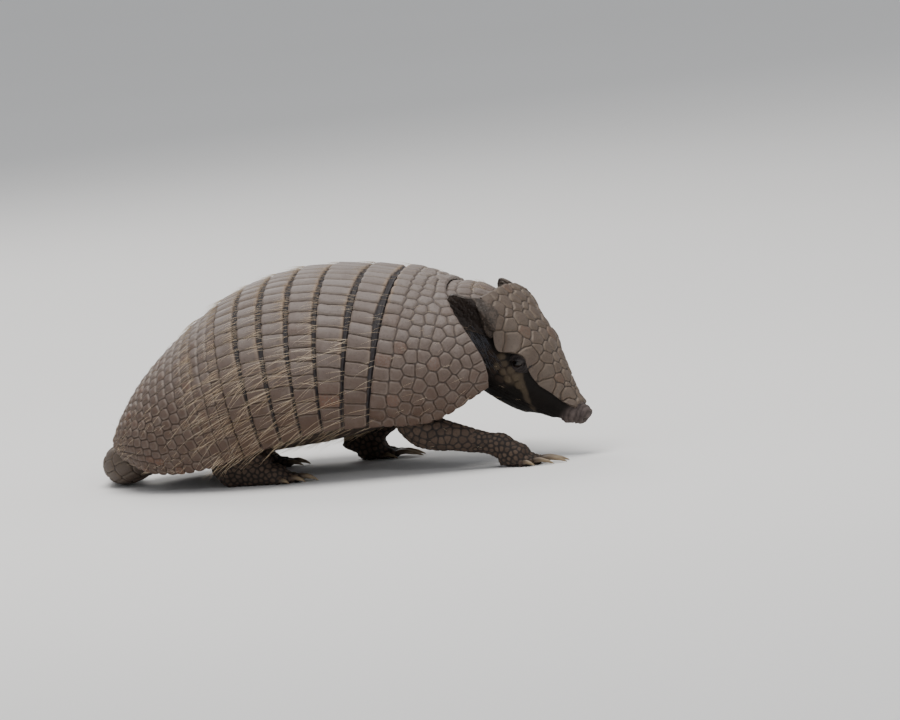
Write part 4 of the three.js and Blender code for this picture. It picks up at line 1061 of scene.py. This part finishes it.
headPlates = {
    "jitter": 1.8, "halfWidth": 34,
    # x of each row, and its plates as shares of the way out; all but the middle one stand on both sides
    "rows": [(4.5, (0.18, 0.55, 0.9)), (14, (0, 0.37, 0.74)), (23.5, (0.17, 0.52, 0.87)),
        (33, (0, 0.33, 0.65, 0.95)), (42.5, (0.17, 0.5, 0.84)), (52, (0, 0.36, 0.72)), (61, (0.2, 0.56, 0.92)),
        (69.5, (0, 0.42, 0.82)), (77.5, (0.24, 0.7)), (85, (0, 0.5, 0.92)), (92.5, (0.28, 0.78)),
        (99.5, (0, 0.62)), (106, (0.34, 0.9))],
    "relief": {**relief, "dome": 0.7, "domeReach": 4.5, "tilt": 0.3, "warp": 1.2, "vary": 24},
}
rng = np.random.default_rng(61)
jitter = headPlates["jitter"]
spots = [(x + rng.uniform(-1, 1) * jitter, s * t + rng.uniform(-1, 1) * jitter / headPlates["halfWidth"])
    for x, shares in headPlates["rows"] for t in shares for s in ((1, -1) if t else (1,))]
headSeeds = headSurface(*np.array(spots).T)
evenOut = np.sin(np.linspace(-1, 1, 150) * math.pi / 2)
xs, ts = np.meshgrid(np.linspace(0.3, 109.7, 210), evenOut, indexing="ij")
reliefSheet("head_plates", headSurface(xs, ts), headSeeds, headPlates["relief"], head["shieldThickness"] - 0.4,
    (24, 20), headPaint, ["head_shield"], 62, 0.75, (0.52, 0.5))

# The nape's plates reach from under the front shield's edge to under the head shield's, in three rows.
nuchal = {
    "x": 297.5, "y": -4, "z": 99, "across": 52, "narrows": 22, "high": 40.3, "falls": 9.2, "length": 36,
    "thickness": 3.2, "reach": 50, "lean": 8,
    # plates in each row and the row's share of the length
    "rows": ((10, -0.42), (8, -0.12), (6, 0.24)), "plateReach": 46,
    "relief": {**relief, "dome": 1.0, "domeReach": 6, "vary": 12},
}

def nuchalSurface(share, degrees):
    # an arch over the neck, round by the cosine to a power, that narrows and falls towards the head
    angle, toFront = np.radians(degrees), share + 0.5
    across = nuchal["across"] - nuchal["narrows"] * toFront ** 0.8
    lean = nuchal["lean"] * (1 - np.cos(angle)) * (1 - toFront)
    return np.stack([nuchal["x"] + share * nuchal["length"] + lean,
        nuchal["y"] * (0.6 + 0.8 * toFront) + across * np.sin(angle),
        nuchal["z"] + nuchal["high"] * np.cos(angle) ** 0.7 - nuchal["falls"] * toFront ** 3], -1)

nuchalSeeds = np.vstack([nuchalSurface(np.full(many, at), np.linspace(-1, 1, many) * nuchal["plateReach"])
    for many, at in nuchal["rows"]])
shares, angles = np.meshgrid(np.linspace(-0.5, 0.5, 62),
    np.linspace(-nuchal["reach"], nuchal["reach"], 150), indexing="ij")
reliefSheet("nape_plates", nuchalSurface(shares, angles), nuchalSeeds, nuchal["relief"],
    nuchal["thickness"] - 0.3, (8, 30), shellPaint, ["nuchal_band"], 63, 0.7, (0.55, 0.55))

# Ears, eyes and lids.

def softMaterial(name, dark, light, grain, bumps=0.4, low=0.5, inside=None):
    # leathery skin of two tones with fine grains; an inside mask darkens it
    paint = Paint(name)
    cloud, fine, grains = paint.noise(9, 4), paint.noise(1.3, 4), paint.pebbles(grain)
    base = paint.mix((cloud * 0.6 + fine * 0.4).ease(0.3, 0.7), dark, light)
    base = paint.mix(grains.ease(0.35, 0.75) * 0.45, base, dark)
    if inside is not None:
        base = paint.mix(paint.carried("inside"), base, inside)
    return paint.finish(base, low + 0.2 * cloud, fine * 0.4 + (1 - grains) * 0.8, bumps, Specular_IOR_Level=0.4)

def placedPiece(name, points, faceSets, material, nodes, attributes=None, uv=None):
    # a mesh with its material, on the body root, in place of these nodes
    handOver(meshPiece(name, points, faceSets, material, uv, attributes, 60), nodes)

ear = {
    # in the head's frame, for a left ear; the right one is its mirror image but for its tip and width
    "base": (23.5, 33, -17), "tip": {"right": (-12, 49, -13), "left": (-10, 46, -23)},
    "facing": (0.3, 0.9, -0.05), "ahead": {"right": 1, "left": 0.6},
    # along, behind, ahead, cup: the leaf's outline on both sides of its axis and how deep it is cupped
    "outline": np.array([(-6, 1.0, 5.5, 1.5), (-1.5, 2.2, 11.5, 3), (4, 4.2, 15.5, 4.2), (11, 7.6, 17, 5.2),
        (19, 9, 15, 5.4), (28, 8.6, 11, 4.2), (35, 6.4, 6.8, 2), (38.4, 3.8, 4.2, 1.0), (40, 0.6, 1.0, 0.3)]),
    # where the front fold begins: along the ear against the way across (-1 rear edge, 1 front edge)
    "foldFrom": np.array([(-6, -0.3), (3, -0.1), (12, 0.16), (20, 0.45), (28, 0.9)]),
    "thickness": 1.9, "foldHeight": 4.4, "joinDepth": 3.6, "stations": 64, "across": 42,
}
earPaint = softMaterial("ear skin", tint(46, 39, 34), tint(92, 79, 69), 2.2, 1.2, inside=tint(40, 30, 25))

def earPiece(word):
    # A cupped leaf: across it, depth grows with the square of the way out. In front a broad grainy fold stands
    # up and falls back to the head, where the leaf's front edge is joined on. Each ring runs over the open face
    # and back over the outer one; the wall thins to nothing at both edges.
    side = 1 if word == "left" else -1
    base, tip, facing = (np.array(place, float) * [1, side, 1]
        for place in (ear["base"], ear["tip"][word], ear["facing"]))
    many, across = ear["stations"], ear["across"]
    along = unit(tip - base)
    out = unit(facing - along * (facing @ along))
    ahead = np.cross(along, out)
    ahead *= np.sign(ahead @ [0.5, 0, 1])
    u = np.linspace(0, len(ear["outline"]) - 1, many)
    reach, behind, forward, cup = (column[:, None] for column in smoothAt(ear["outline"], u).T)
    t = np.sin(np.linspace(-1, 1, across) * math.pi / 2)[None]
    wide = np.where(t < 0, behind, forward * ear["ahead"][word]) * np.sin(t * math.pi / 2)
    shareUp = np.clip(reach / ear["outline"][-1, 0], 0, 1)
    joined = 1 - easeStep(0.5, 0.9, shareUp)
    foldFrom = np.interp(reach, *ear["foldFrom"].T)
    frontFold = easeStep(foldFrom, foldFrom + 0.2, t) * (1 - easeStep(0.55, 0.95, t)) * joined
    depth = (cup * t ** 2 * (1 - joined * easeStep(0.3, 0.9, t)) + ear["foldHeight"] * frontFold
        - ear["joinDepth"] * joined * easeStep(0.5, 1, t))
    ripple = 0.25 * np.sin(t * 16 + 3 * shareUp) * (1 - np.abs(t)) * (shareUp < 0.9)
    thicker = 1 + 0.9 * np.exp(-((t - 0.78) / 0.2) ** 2) * (1 - shareUp)  # low on the front edge
    wall = ear["thickness"] * np.sqrt(np.maximum(1 - t ** 8, 0)) * thicker
    inner = base + along * reach[..., None] + ahead * wide[..., None] + out * (depth + ripple)[..., None]
    outer = inner - out * wall[..., None] + ahead * (0.25 * t * wall)[..., None]
    rings = np.concatenate([inner, outer[:, -2:0:-1]], axis=1)
    onFold = np.hstack([frontFold, np.zeros((many, rings.shape[1] - across))])
    beads = 0.22 * onFold * np.sin(reach * 2.5 + roughness3d(rings, 5, 78))
    rings += ((0.18 + 0.34 * onFold) * roughness3d(rings, 1.9, 77 + side) + beads)[..., None] * out
    points, faceSets = closedLoft(fromHead(rings))
    inside = np.zeros(rings.shape[:2])
    beforeFold = 1 - easeStep(foldFrom - 0.02, foldFrom + 0.12, t)
    inside[:, :across] = easeStep(-0.98, -0.8, t) * beforeFold * (1 - 0.4 * easeStep(0.7, 1, shareUp))
    placedPiece(f"{word}_ear_skin", points, faceSets, earPaint, [f"{word}_ear"],
        {"inside": np.append(inside.ravel(), [0, 0])})

eyePaint = Paint("eye")
eyeNear = eyePaint.carried("iris")
irisColour = eyePaint.mix(eyePaint.noise(0.7, 3), tint(20, 13, 9), tint(34, 22, 15))
eyeColour = eyePaint.mix(eyeNear.ease(0.35, 0.5), tint(7, 5, 5), irisColour)
eyeColour = eyePaint.mix(eyeNear.ease(0.86, 0.96), eyeColour, tint(40, 30, 25))
eyeMaterial = eyePaint.finish(eyeColour, 0.2 + 0.06 * eyePaint.noise(3, 2), Specular_IOR_Level=0.1,
    Coat_Weight=0.6, Coat_Roughness=0.04)
lidPaint = softMaterial("eyelid skin", tint(28, 23, 22), tint(62, 53, 51), 1.1, 0.45)

eyelid = {
    # distance from the eye's middle, as a multiple of the opening, against height over the skin around
    "profile": np.array([(1.0, 4.0), (1.25, 4.0), (1.5, 3.7), (1.75, 3.1), (1.95, 3.0), (2.2, 2.6), (2.4, 1.9),
        (2.62, 1.7), (2.85, 0.8), (3.1, -0.3), (3.4, -2.0)]),
    # half length and half height of the opening, and of the lids' outline where the spread is outlineAt
    "opening": (4.5, 2.6), "outline": (9.0, 8.8), "outlineAt": 2.9,
    "thickness": 0.95, "tilt": 47, "drop": 0.9, "irisRadius": 4.6,
}

def eyePieces(word):
    # the eyeball, and the lids round it, in the head's frame
    side = 1 if word == "left" else -1
    centre = head["eye"] * [1, side, 1]
    # ball: an even sphere with a slightly bulging cornea
    polar, turn = np.meshgrid(np.linspace(0.02, math.pi - 0.02, 48), np.arange(64) / 64 * 2 * math.pi,
        indexing="ij")
    radius = head["eyeRadius"] * (1 + 0.045 * (1 - easeStep(0.35, 0.8, polar)))
    ball = np.stack([np.sin(polar) * np.cos(turn), side * np.cos(polar), np.sin(polar) * np.sin(turn)], -1)
    points, faceSets = closedLoft(fromHead(centre + ball * radius[..., None]))
    iris = np.append((np.sin(polar) * radius / eyelid["irisRadius"] + (polar > 1.5) * 2).ravel(), [0, 2])
    placedPiece(f"{word}_eyeball", points, faceSets, eyeMaterial, [f"{word}_eye"],
        {"iris": np.minimum(iris, 1.2)})
    # Lids: rings round an almond opening. Near it they lie on the ball, at the lid's thickness, and further out
    # they follow the profile down into the skin, with a crease above and one below.
    spread = np.concatenate([np.linspace(0.96, 1.1, 10), np.linspace(1.14, 3.4, 62)])[:, None]
    rise = smoothAt(eyelid["profile"], stationOf(eyelid["profile"][:, 0], spread[:, 0]))[:, 1:]
    angle = np.arange(120)[None] / 120 * 2 * math.pi
    (halfLong, halfHigh), (outerLong, outerHigh), far = (eyelid[k] for k in ("opening", "outline", "outlineAt"))
    outward = easeStep(1, 2.6, spread)
    x = np.cos(angle) * (halfLong * spread * (1 - outward) + outerLong / far * spread * outward)
    z = (signedPower(np.sin(angle), 1.3) * halfHigh * spread * (1 - outward)
        + np.sin(angle) * outerHigh / far * spread * outward)
    z = z - eyelid["drop"] * (1 - outward)
    lidRadius = head["eyeRadius"] - 0.25 + eyelid["thickness"] * easeStep(0.96, 1.08, spread)
    onBall = np.sqrt(np.maximum(lidRadius ** 2 - x ** 2 - z ** 2, 0))
    upper = np.maximum(np.sin(angle), 0)
    hug = 1 - easeStep(1.15, 1.85, spread)
    rise = hug * onBall + (1 - hug) * rise * (1 + 0.12 * upper)
    creases = 0.14 * np.sin(angle * 22 + 4 * np.sin(spread * 5))
    creases = creases * easeStep(1.2, 1.7, spread) * (1 - easeStep(2.9, 3.4, spread))
    lidLine = (spread - 1.62 - 0.12 * np.cos(angle)) / 0.09
    creases = creases - 0.5 * np.exp(-lidLine ** 2) * (0.35 + 0.65 * upper)
    creases = creases + 0.16 * np.sin(spread * 15 + np.cos(angle * 3)) * easeStep(1.7, 2.1, spread)
    tilt = math.radians(eyelid["tilt"])
    lids = np.stack([x * math.cos(tilt) - z * math.sin(tilt), side * (rise + creases),
        x * math.sin(tilt) + z * math.cos(tilt)], -1)
    # a second layer inside closes the ring of the lids into a solid
    inner = (lids * [0.97, 1, 0.97] - [0, side * 1.3, 0])[::6][::-1]
    rings = fromHead(centre + np.concatenate([inner, lids]))
    count, sides = rings.shape[:2]
    faces = gridFaces(count + 1, sides, wrap=True) % (count * sides)
    placedPiece(f"{word}_eyelids", rings.reshape(-1, 3), [faces], lidPaint, None)

for word in ("right", "left"):
    earPiece(word)
    eyePieces(word)
print("ears, eyes and lids")

# Claws, five on each foot.

def clawMaterial():
    # horn: brown at the root, paler towards the tip, streaked along its length
    paint = Paint("claw")
    along, streak = paint.carried("along"), paint.noise(1.4, 4, stretch=(0.25, 1, 1))
    base = paint.mix(along.ease(0.05, 0.8), tint(66, 52, 40), tint(132, 114, 88))
    base = paint.mix(streak.ease(0.4, 0.7) * 0.5, base, tint(82, 65, 48))
    base = paint.mix((1 - along.ease(0.0, 0.16)) * 0.8, base, tint(44, 35, 28))
    return paint.finish(base, 0.38 + 0.2 * streak, streak, 0.12, Specular_IOR_Level=0.5)

clawPaint = clawMaterial()

def clawPieces(name, word, limb):
    # Each claw leaves its toe, arches a little and comes down to the floor; it is taller than wide and has a
    # flat underside, so its ring is a superellipse with its lower half pressed up.
    allPoints, allFaces, shares, first = [], [], [], 0
    for root, ahead, length, radius in footLofts(flesh["feet"][name])[1]:
        s = np.linspace(0, 1, 26)[:, None]
        size = radius * np.interp(s, [0, 0.1, 0.5, 0.85, 0.97, 1], [0.5, 0.62, 0.5, 0.27, 0.13, 0.03])
        middle = np.interp(s, [0, 0.35, 0.75, 1], [radius * 0.82, radius * 0.98, radius * 0.62, 0.62])
        angle = np.arange(16)[None] / 16 * 2 * math.pi
        across = unit(np.cross([0, 0, 1.0], ahead))
        upward = np.where(np.sin(angle) > 0, 1.15, 0.62) * np.sin(angle) * size
        rings = root + (ahead * s * length)[:, None] + across * (np.cos(angle) * size * 0.82)[..., None]
        rings[..., 2] = np.maximum(middle + upward, 0.02)
        points, faces = closedLoft(rings)
        allPoints.append(points)
        allFaces += [f + first for f in faces]
        shares.append(np.append(np.broadcast_to(s, rings.shape[:2]).ravel(), [0, 1]))
        first += len(points)
    placedPiece(f"{word}_{limb}_claws", np.vstack(allPoints), allFaces, clawPaint,
        [f"{word}_{limb}_claw_{i}" for i in range(1, 6)], {"along": np.concatenate(shares)})

for limb in ("fore", "hind"):
    for word in ("right", "left"):
        clawPieces(word + limb.capitalize(), word, limb)
print("claws")

# The tail's plates and scales.

tail = {
    # x, y, z, half width, half height
    "path": np.array([(42, -5, 33, 15, 15), (24, -1, 24.5, 16.5, 16.5), (9, 7, 18.5, 16.3, 16.3),
        (1, 22, 15.6, 15, 15), (-3, 41, 13.2, 13, 13), (-8, 66, 11, 10.8, 10.8), (-12, 92, 8.6, 8.5, 8.5),
        (-12, 118, 6.4, 6.3, 6.3), (-8, 142, 4.3, 4.2, 4.2), (-1, 162, 2.4, 2.3, 2.3)]),
    "ringStep": 10.5, "rings": 4, "scaleStep": 6.2, "plateWidth": 9.5, "scaleWidth": 5.8, "sides": 110,
    "relief": {**relief, "grooveWidth": 0.9, "grooveDepth": 0.8, "dome": 0.5, "domeReach": 2.6,
        "innerGroove": 0},
}
# edge: pale rims, partly painted highlight; groove: fine pits and painted shade in the grooves; strip: also
# painted shade at the grooves' bottom
tailPaint = plateMaterial("tail plates", {
    "low": tint(70, 58, 49), "high": tint(80, 68, 58), "warm": tint(72, 58, 48), "pale": tint(96, 83, 71),
    "edge": tint(100, 87, 72), "rust": tint(92, 62, 42), "margin": tint(100, 84, 66),
    "groove": tint(44, 36, 30), "strip": tint(26, 21, 18), "skin": tint(48, 42, 38)})

def tailRow(row, share):
    # width of a row's plates and the step to the next row: plates at the root, then scales that shrink with
    # the share of the way to the tip
    if row < tail["rings"]:
        return tail["plateWidth"], tail["ringStep"]
    return (tail["scaleWidth"] * np.interp(share, [0.2, 1], [1.05, 0.5]),
        tail["scaleStep"] * np.interp(share, [0.2, 1], [1.05, 0.6]))

def tailPiece():
    # rings of plates at the root, then ever smaller scales in rings down to the tip
    sides = tail["sides"]
    u = np.linspace(0.72, len(tail["path"]) - 1, 330)
    rings = ringsThrough(tail["path"], u, sides)
    centre = smoothAt(tail["path"], u)[:, None, :3]
    distance = np.concatenate([[0], np.cumsum(np.linalg.norm(np.diff(centre[:, 0], axis=0), axis=1))])
    rng = np.random.default_rng(71)
    seeds, reach, row = [], tail["ringStep"] * 0.5, 0
    while reach < distance[-1] - 1:
        at = int(np.interp(reach, distance, np.arange(len(u))))
        girth = np.linalg.norm(np.diff(rings[at], axis=0), axis=1).sum()
        width, step = tailRow(row, reach / distance[-1])
        count = max(int(girth / width), 5)
        turn = (np.arange(count) + 0.5 * (row % 2) + rng.uniform(-0.06, 0.06, count)) / count
        seeds.append(rings[at][(turn * sides).astype(int) % sides])
        reach += step
        row += 1
    seeds = np.vstack(seeds)
    height, border, owner = plateRelief(rings.reshape(-1, 3), seeds, np.zeros(len(seeds)), rng, tail["relief"])
    outward = unit(rings - centre)
    shrink = np.interp(distance, [0, distance[-1] * 0.8, distance[-1]], [1, 0.7, 0.3])[:, None]
    rings = rings + outward * ((height.reshape(rings.shape[:2]) + 0.1) * shrink)[..., None]
    rings[..., 2] = np.maximum(rings[..., 2], 0.02)
    tip = centre[-1] + (rings[-1] - centre[-1]) * 0.55 + unit(centre[-1] - centre[-8]) * 1.3
    points, faceSets = closedLoft(np.concatenate([rings, tip[None]]))
    tone = rng.uniform(0, 1, len(seeds))[owner]
    atTip = np.ones(sides + 2)  # the last ring and both ends take one value
    placedPiece("tail_plates", points, faceSets, tailPaint,
        ["tail_ring_1", "tail_ring_2", "tail_ring_3", "tail_shaft", "tail_tip"],
        {"tone": np.append(tone, 0.5 * atTip), "groove": np.append(np.minimum(border / 2, 1), atTip),
            "strip": np.zeros(len(points)), "upper": np.full(len(points), 0.5)})

tailPiece()
print("tail")

# Bristles and hair, each one a thin solid prism.

def bristleMaterial(name, dull, bright, root):
    # bristles darker at the root, each a little different in tone
    paint = Paint(name)
    along, tone = paint.carried("along"), paint.carried("tone")
    patches = paint.noise(40, 2)
    base = paint.mix((tone * 0.7 + patches * 0.5 - 0.1).least(1).most(0), dull, bright)
    base = paint.mix((1 - along.ease(0, 0.3)) * 0.55, base, root)
    return paint.finish(base, 0.42 + 0.1 * tone, Specular_IOR_Level=0.5)

bristlePaint = bristleMaterial("bristles", tint(166, 137, 102), tint(220, 203, 175), tint(94, 71, 52))
# dark hair: the blue-grey tone of its paler hairs is a painted sheen
darkHairPaint = bristleMaterial("dark hair", tint(30, 29, 31), tint(96, 97, 105), tint(22, 20, 20))
bristle = {"segments": 7, "sides": 3, "patch": 0.003}

def downFrom(back, out):
    # across a bristle's own way and its surface, on the side that points down
    down = unit(np.cross(back, out))
    return down * np.sign(-down[:, 2:] + 1e-9)

def alongSurface(direction, out):
    # a direction less its part along the surface's normal
    return unit(direction - out * np.sum(direction * out, axis=1, keepdims=True))

def prismFaces(count):
    # the faces of count prisms of equal rings, each closed at its root and drawn to a point at its tip
    rows, sides = bristle["segments"], bristle["sides"]
    tipAt = (rows - 2) * sides
    k = np.arange(sides)
    ends = np.vstack([np.stack([tipAt + k, tipAt + (k + 1) % sides, np.full(sides, tipAt + sides)], -1),
        k[None, ::-1]])
    pointCount = tipAt + sides + 1
    offset = np.arange(count)[:, None, None] * pointCount
    quads = gridFaces(rows - 1, sides, wrap=True)[None] + offset
    return (quads.reshape(-1, 4), (ends[None] + offset).reshape(-1, 3)), pointCount

def bristlePiece(name, roots, back, out, lengths, lift, slant, droop, width, mapAt, rng,
        material=bristlePaint):
    # Each bristle is a three-sided tapering prism. Its line leaves the root backwards, turned down by slant and
    # raised by lift, then falls back to the body with the square of the way and sinks under its own weight.
    count, rows, sides = len(roots), bristle["segments"], bristle["sides"]
    s = np.linspace(0, 1, rows)[None, :, None]
    lengths, lift, slant, droop, width = (np.broadcast_to(value, count)[:, None, None]
        for value in (lengths, lift, slant, droop, width))
    down = downFrom(back, out)
    heading = back[:, None] * np.cos(slant) + down[:, None] * np.sin(slant)
    bend = rng.uniform(-0.12, 0.12, (count, 1, 1))
    rising = out[:, None] * (np.sin(lift) * s - 0.09 * s ** 2)
    line = roots[:, None] + lengths * (heading * np.cos(lift) * s + rising
        + down[:, None] * bend * s ** 2 + np.array([0, 0, -1.0]) * droop * s ** 2)
    line = line - out[:, None] * 0.5 * (1 - easeStep(0, 0.15, s))
    line[..., 2] = np.maximum(line[..., 2], 0.3)
    across = unit(np.cross(heading, out[:, None]))
    angle = np.arange(sides) / sides * 2 * math.pi
    radius = width / 2 * (1 - s) ** 0.55 * (1 - 0.25 * np.exp(-s * 12))
    ring = across[:, :, None] * np.cos(angle)[:, None] + out[:, None, None] * np.sin(angle)[:, None]
    points = line[:, :, None] + ring * radius[..., None]
    points[:, -1] = line[:, -1:]
    (quads, triangles), pointCount = prismFaces(count)
    points = points.reshape(count, -1, 3)[:, :pointCount]  # the tip's ring is one point
    corner, row = np.arange(pointCount) % sides, np.arange(pointCount) // sides
    # on the map each bristle has a small patch of its own, where its root stands
    patch = np.stack([corner / (sides - 1), row / (rows - 1)], -1)
    uv = (mapAt[:, None] + (patch[None] - 0.5) * bristle["patch"]).reshape(-1, 2)
    along = np.broadcast_to(row / (rows - 1), (count, pointCount))
    tone = np.repeat(rng.uniform(0, 1, count), pointCount)
    placedPiece(name, points.reshape(-1, 3), [quads, triangles], material, None,
        {"along": along.ravel(), "tone": tone}, uv)
    print(name, count, "bristles,", len(triangles) + 2 * len(quads), "triangles")

def bristlesOnShell(name, u, share, lengths, lift, slant, droop, width, rng):
    # backwards is the direction in which the shell's station grows
    a = roundAt(share)
    back = unit(shellSurface(u + 0.01, a) - shellSurface(u - 0.01, a))
    mapAt = np.stack([0.01 + 0.98 * (share + 1) / 2, 0.01 + 0.98 * u / shell["last"]], -1)
    bristlePiece(name, shellSurface(u, a), back, shellNormal(u, a), lengths, lift, slant, droop, width, mapAt,
        rng)

shellBristles = {
    # kind: how many on each side, share of the way round from and to, length from and to, width
    "band": [(42, 0.02, 0.5, 8, 19, 0.2), (40, 0.02, 0.55, 4, 10, 0.2), (22, 0.36, 0.72, 11, 24, 0.23),
        (36, 0.58, 1.0, 15, 32, 0.26)],
    "pelvic": [(130, 0.0, 0.6, 4, 9, 0.17), (60, 0.5, 0.98, 6, 15, 0.2)],
    "scapular": [(36, 0.0, 0.7, 4, 7, 0.16), (12, 0.7, 0.98, 6, 12, 0.18)],
    # how much of the band's number stands on each rear edge: front shield, bands, rear shield's first row
    "fullness": (0.22, 0.5, 0.85, 1.1, 1.2, 1.25, 1.25, 1.0), "firstRow": 0.62,
    # stations from and to, between which the shields' own bristles stand
    "pelvicFrom": 0.6, "pelvicTo": 8.7, "scapularFrom": 0.25, "scapularTo": 1.95,
}

def growShellBristles():
    # rows along the rear edges of the front shield, of each band and of the rear shield's first row, and
    # bristles all over both shields
    rng = np.random.default_rng(81)
    fields = (("pelvic", shell["pelvic"] + shellBristles["pelvicFrom"], shellBristles["pelvicTo"]),
        ("scapular", shellBristles["scapularFrom"], shellBristles["scapularTo"]))
    for side, word in ((-1, "right"), (1, "left")):
        rows = []
        for band, fullness in enumerate(shellBristles["fullness"]):
            rear = shell["firstBand"] + band * bandSpan
            if band > shell["bands"]:
                rear = shell["pelvic"] + shellBristles["firstRow"]
            for many, low, high, short, long, width in shellBristles["band"]:
                n = int(many * fullness)
                rows.append(np.stack([rear - np.abs(rng.normal(0.02, 0.02, n)),
                    side * rng.uniform(low, high, n), rng.uniform(short, long, n), np.full(n, width)]))
        for kind, low, high in fields:
            for many, near, far, short, long, width in shellBristles[kind]:
                rows.append(np.stack([rng.uniform(low, high, many), side * rng.uniform(near, far, many),
                    rng.uniform(short, long, many), np.full(many, width)]))
        u, share, length, width = np.concatenate(rows, axis=1)
        n = len(u)
        low = easeStep(0.45, 0.95, np.abs(share))  # low on the flank they lie flatter and hang down
        bristlesOnShell(f"{word}_shell_bristles", u, share, length,
            rng.uniform(0.05, 0.3, n) * (1 - 0.3 * low), rng.normal(0.02, 0.18, n) + 0.12 * low,
            rng.uniform(0.04, 0.13, n) + 0.1 * low, width * rng.uniform(0.75, 1.15, n), rng)

growShellBristles()

skinBristles = {
    # place: how many, length from and to, width, lift
    "legs": (380, 5, 13, 0.2, 0.35), "belly": (520, 8, 20, 0.24, 0.3), "face": (90, 3, 7, 0.15, 0.4),
    "neck": (60, 3, 8, 0.15, 0.4),
}

def mapOnSkin(roots, points):
    # a place on the map from the turn round the body's long axis and the share of its length
    turn = np.arctan2(roots[:, 2] - 60, roots[:, 1]) / (2 * math.pi) + 0.5
    share = (roots[:, 0] - points[:, 0].min()) / np.ptp(points[:, 0])
    return np.stack([0.01 + 0.98 * turn, 0.01 + 0.98 * share], -1)

def growSkinBristles():
    # roots are taken from the skin's own vertices, and the bristles point backwards and down
    rng = np.random.default_rng(91)
    points, normals = pointsOf(skin.data), vertexNormals(skin.data)
    local = toHead(points)
    legs, feet = legMask(points), footMask(points)
    inHead = local[:, 0] > 16
    places = {
        "legs": (legs > 0.5) & (feet < 0.5) & ~inHead,
        "belly": (normals[:, 2] < -0.1) & (legs < 0.2) & (feet < 0.2) & ~inHead & (points[:, 0] < 262)
            & (points[:, 2] < 62),
        "face": inHead & (local[:, 2] < -24) & (local[:, 0] < 100),
        "neck": (local[:, 0] < 14) & (points[:, 0] > 290) & (np.abs(points[:, 1]) < 60),
    }
    picked, facts = [], []
    for place, (many, short, long, width, lift) in skinBristles.items():
        candidates = np.flatnonzero(places[place])
        some = rng.choice(candidates, min(many, len(candidates)), replace=False)
        picked.append(some)
        length = rng.uniform(short, long, len(some))
        facts.append(np.stack([length, np.full(len(some), width), np.full(len(some), lift)]))
    picked = np.concatenate(picked)
    length, width, lift = np.concatenate(facts, axis=1)
    roots, out = points[picked], normals[picked]
    rearward = np.where(inHead[picked][:, None], -head["turn"][:, 0], np.array([-0.9, 0, -0.43]))
    n = len(picked)
    bristlePiece("skin_bristles", roots, alongSurface(rearward, out), out, length,
        lift * rng.uniform(0.5, 1.2, n), rng.normal(0.05, 0.25, n), rng.uniform(0.02, 0.12, n), width,
        mapOnSkin(roots, points), rng)

growSkinBristles()

# Dark hair lies along the side of the neck from under the ear to behind the jaw; a wisp of pale hair stands
# between the nape's plates and the head shield.
neckHair = {"many": 620, "length": (7, 15), "width": 0.3, "from": (8, -46), "to": (42, -17)}
napeHair = {"many": 110, "length": (5, 10), "width": 0.15, "share": (0.12, 0.36), "degrees": 44}

def growNeckHair():
    # on the side of the neck and head between a near low and a far high corner, pointing along the snout
    rng = np.random.default_rng(101)
    points, normals = pointsOf(skin.data), vertexNormals(skin.data)
    local, facing = toHead(points), normals @ head["turn"]
    x, z = local[:, 0], local[:, 2]
    (nearX, lowZ), (farX, highZ) = neckHair["from"], neckHair["to"]
    there = (x > nearX) & (x < farX) & (z > lowZ + 0.1 * (x - nearX)) & (z < highZ - 0.25 * (x - nearX))
    there &= (np.abs(facing[:, 1]) > 0.45) & (np.abs(local[:, 1]) > 14) & (np.abs(local[:, 1]) < 46)
    candidates = np.flatnonzero(there)
    picked = rng.choice(candidates, min(neckHair["many"], len(candidates)), replace=False)
    roots, out = points[picked], normals[picked]
    n = len(picked)
    along = np.array([1, 0, -0.12]) @ head["turn"].T
    bristlePiece("neck_hair", roots, alongSurface(along, out), out, rng.uniform(*neckHair["length"], n),
        rng.uniform(0.06, 0.2, n), rng.normal(0, 0.14, n), rng.uniform(0.0, 0.08, n),
        neckHair["width"] * rng.uniform(0.7, 1.2, n), mapOnSkin(roots, points), rng, darkHairPaint)

def growNapeHair():
    # on the nape's arch in front of its plates, pointing back and away from the arch's inner line
    rng = np.random.default_rng(103)
    n = napeHair["many"]
    share, degrees = rng.uniform(*napeHair["share"], n), rng.uniform(-1, 1, n) * napeHair["degrees"]
    roots = nuchalSurface(share, degrees)
    out = unit(roots - [nuchal["x"], nuchal["y"], nuchal["z"]] - [nuchal["length"] / 3, 0, 0])
    mapAt = np.stack([0.5 + degrees / 100, 0.01 + 0.9 * share], -1)
    bristlePiece("nape_hair", roots, alongSurface(np.array([-1, 0, 0.1]), out), out,
        rng.uniform(*napeHair["length"], n), rng.uniform(0.3, 0.9, n), rng.normal(0, 0.5, n),
        rng.uniform(0, 0.1, n), napeHair["width"], mapAt, rng)

growNeckHair()
growNapeHair()
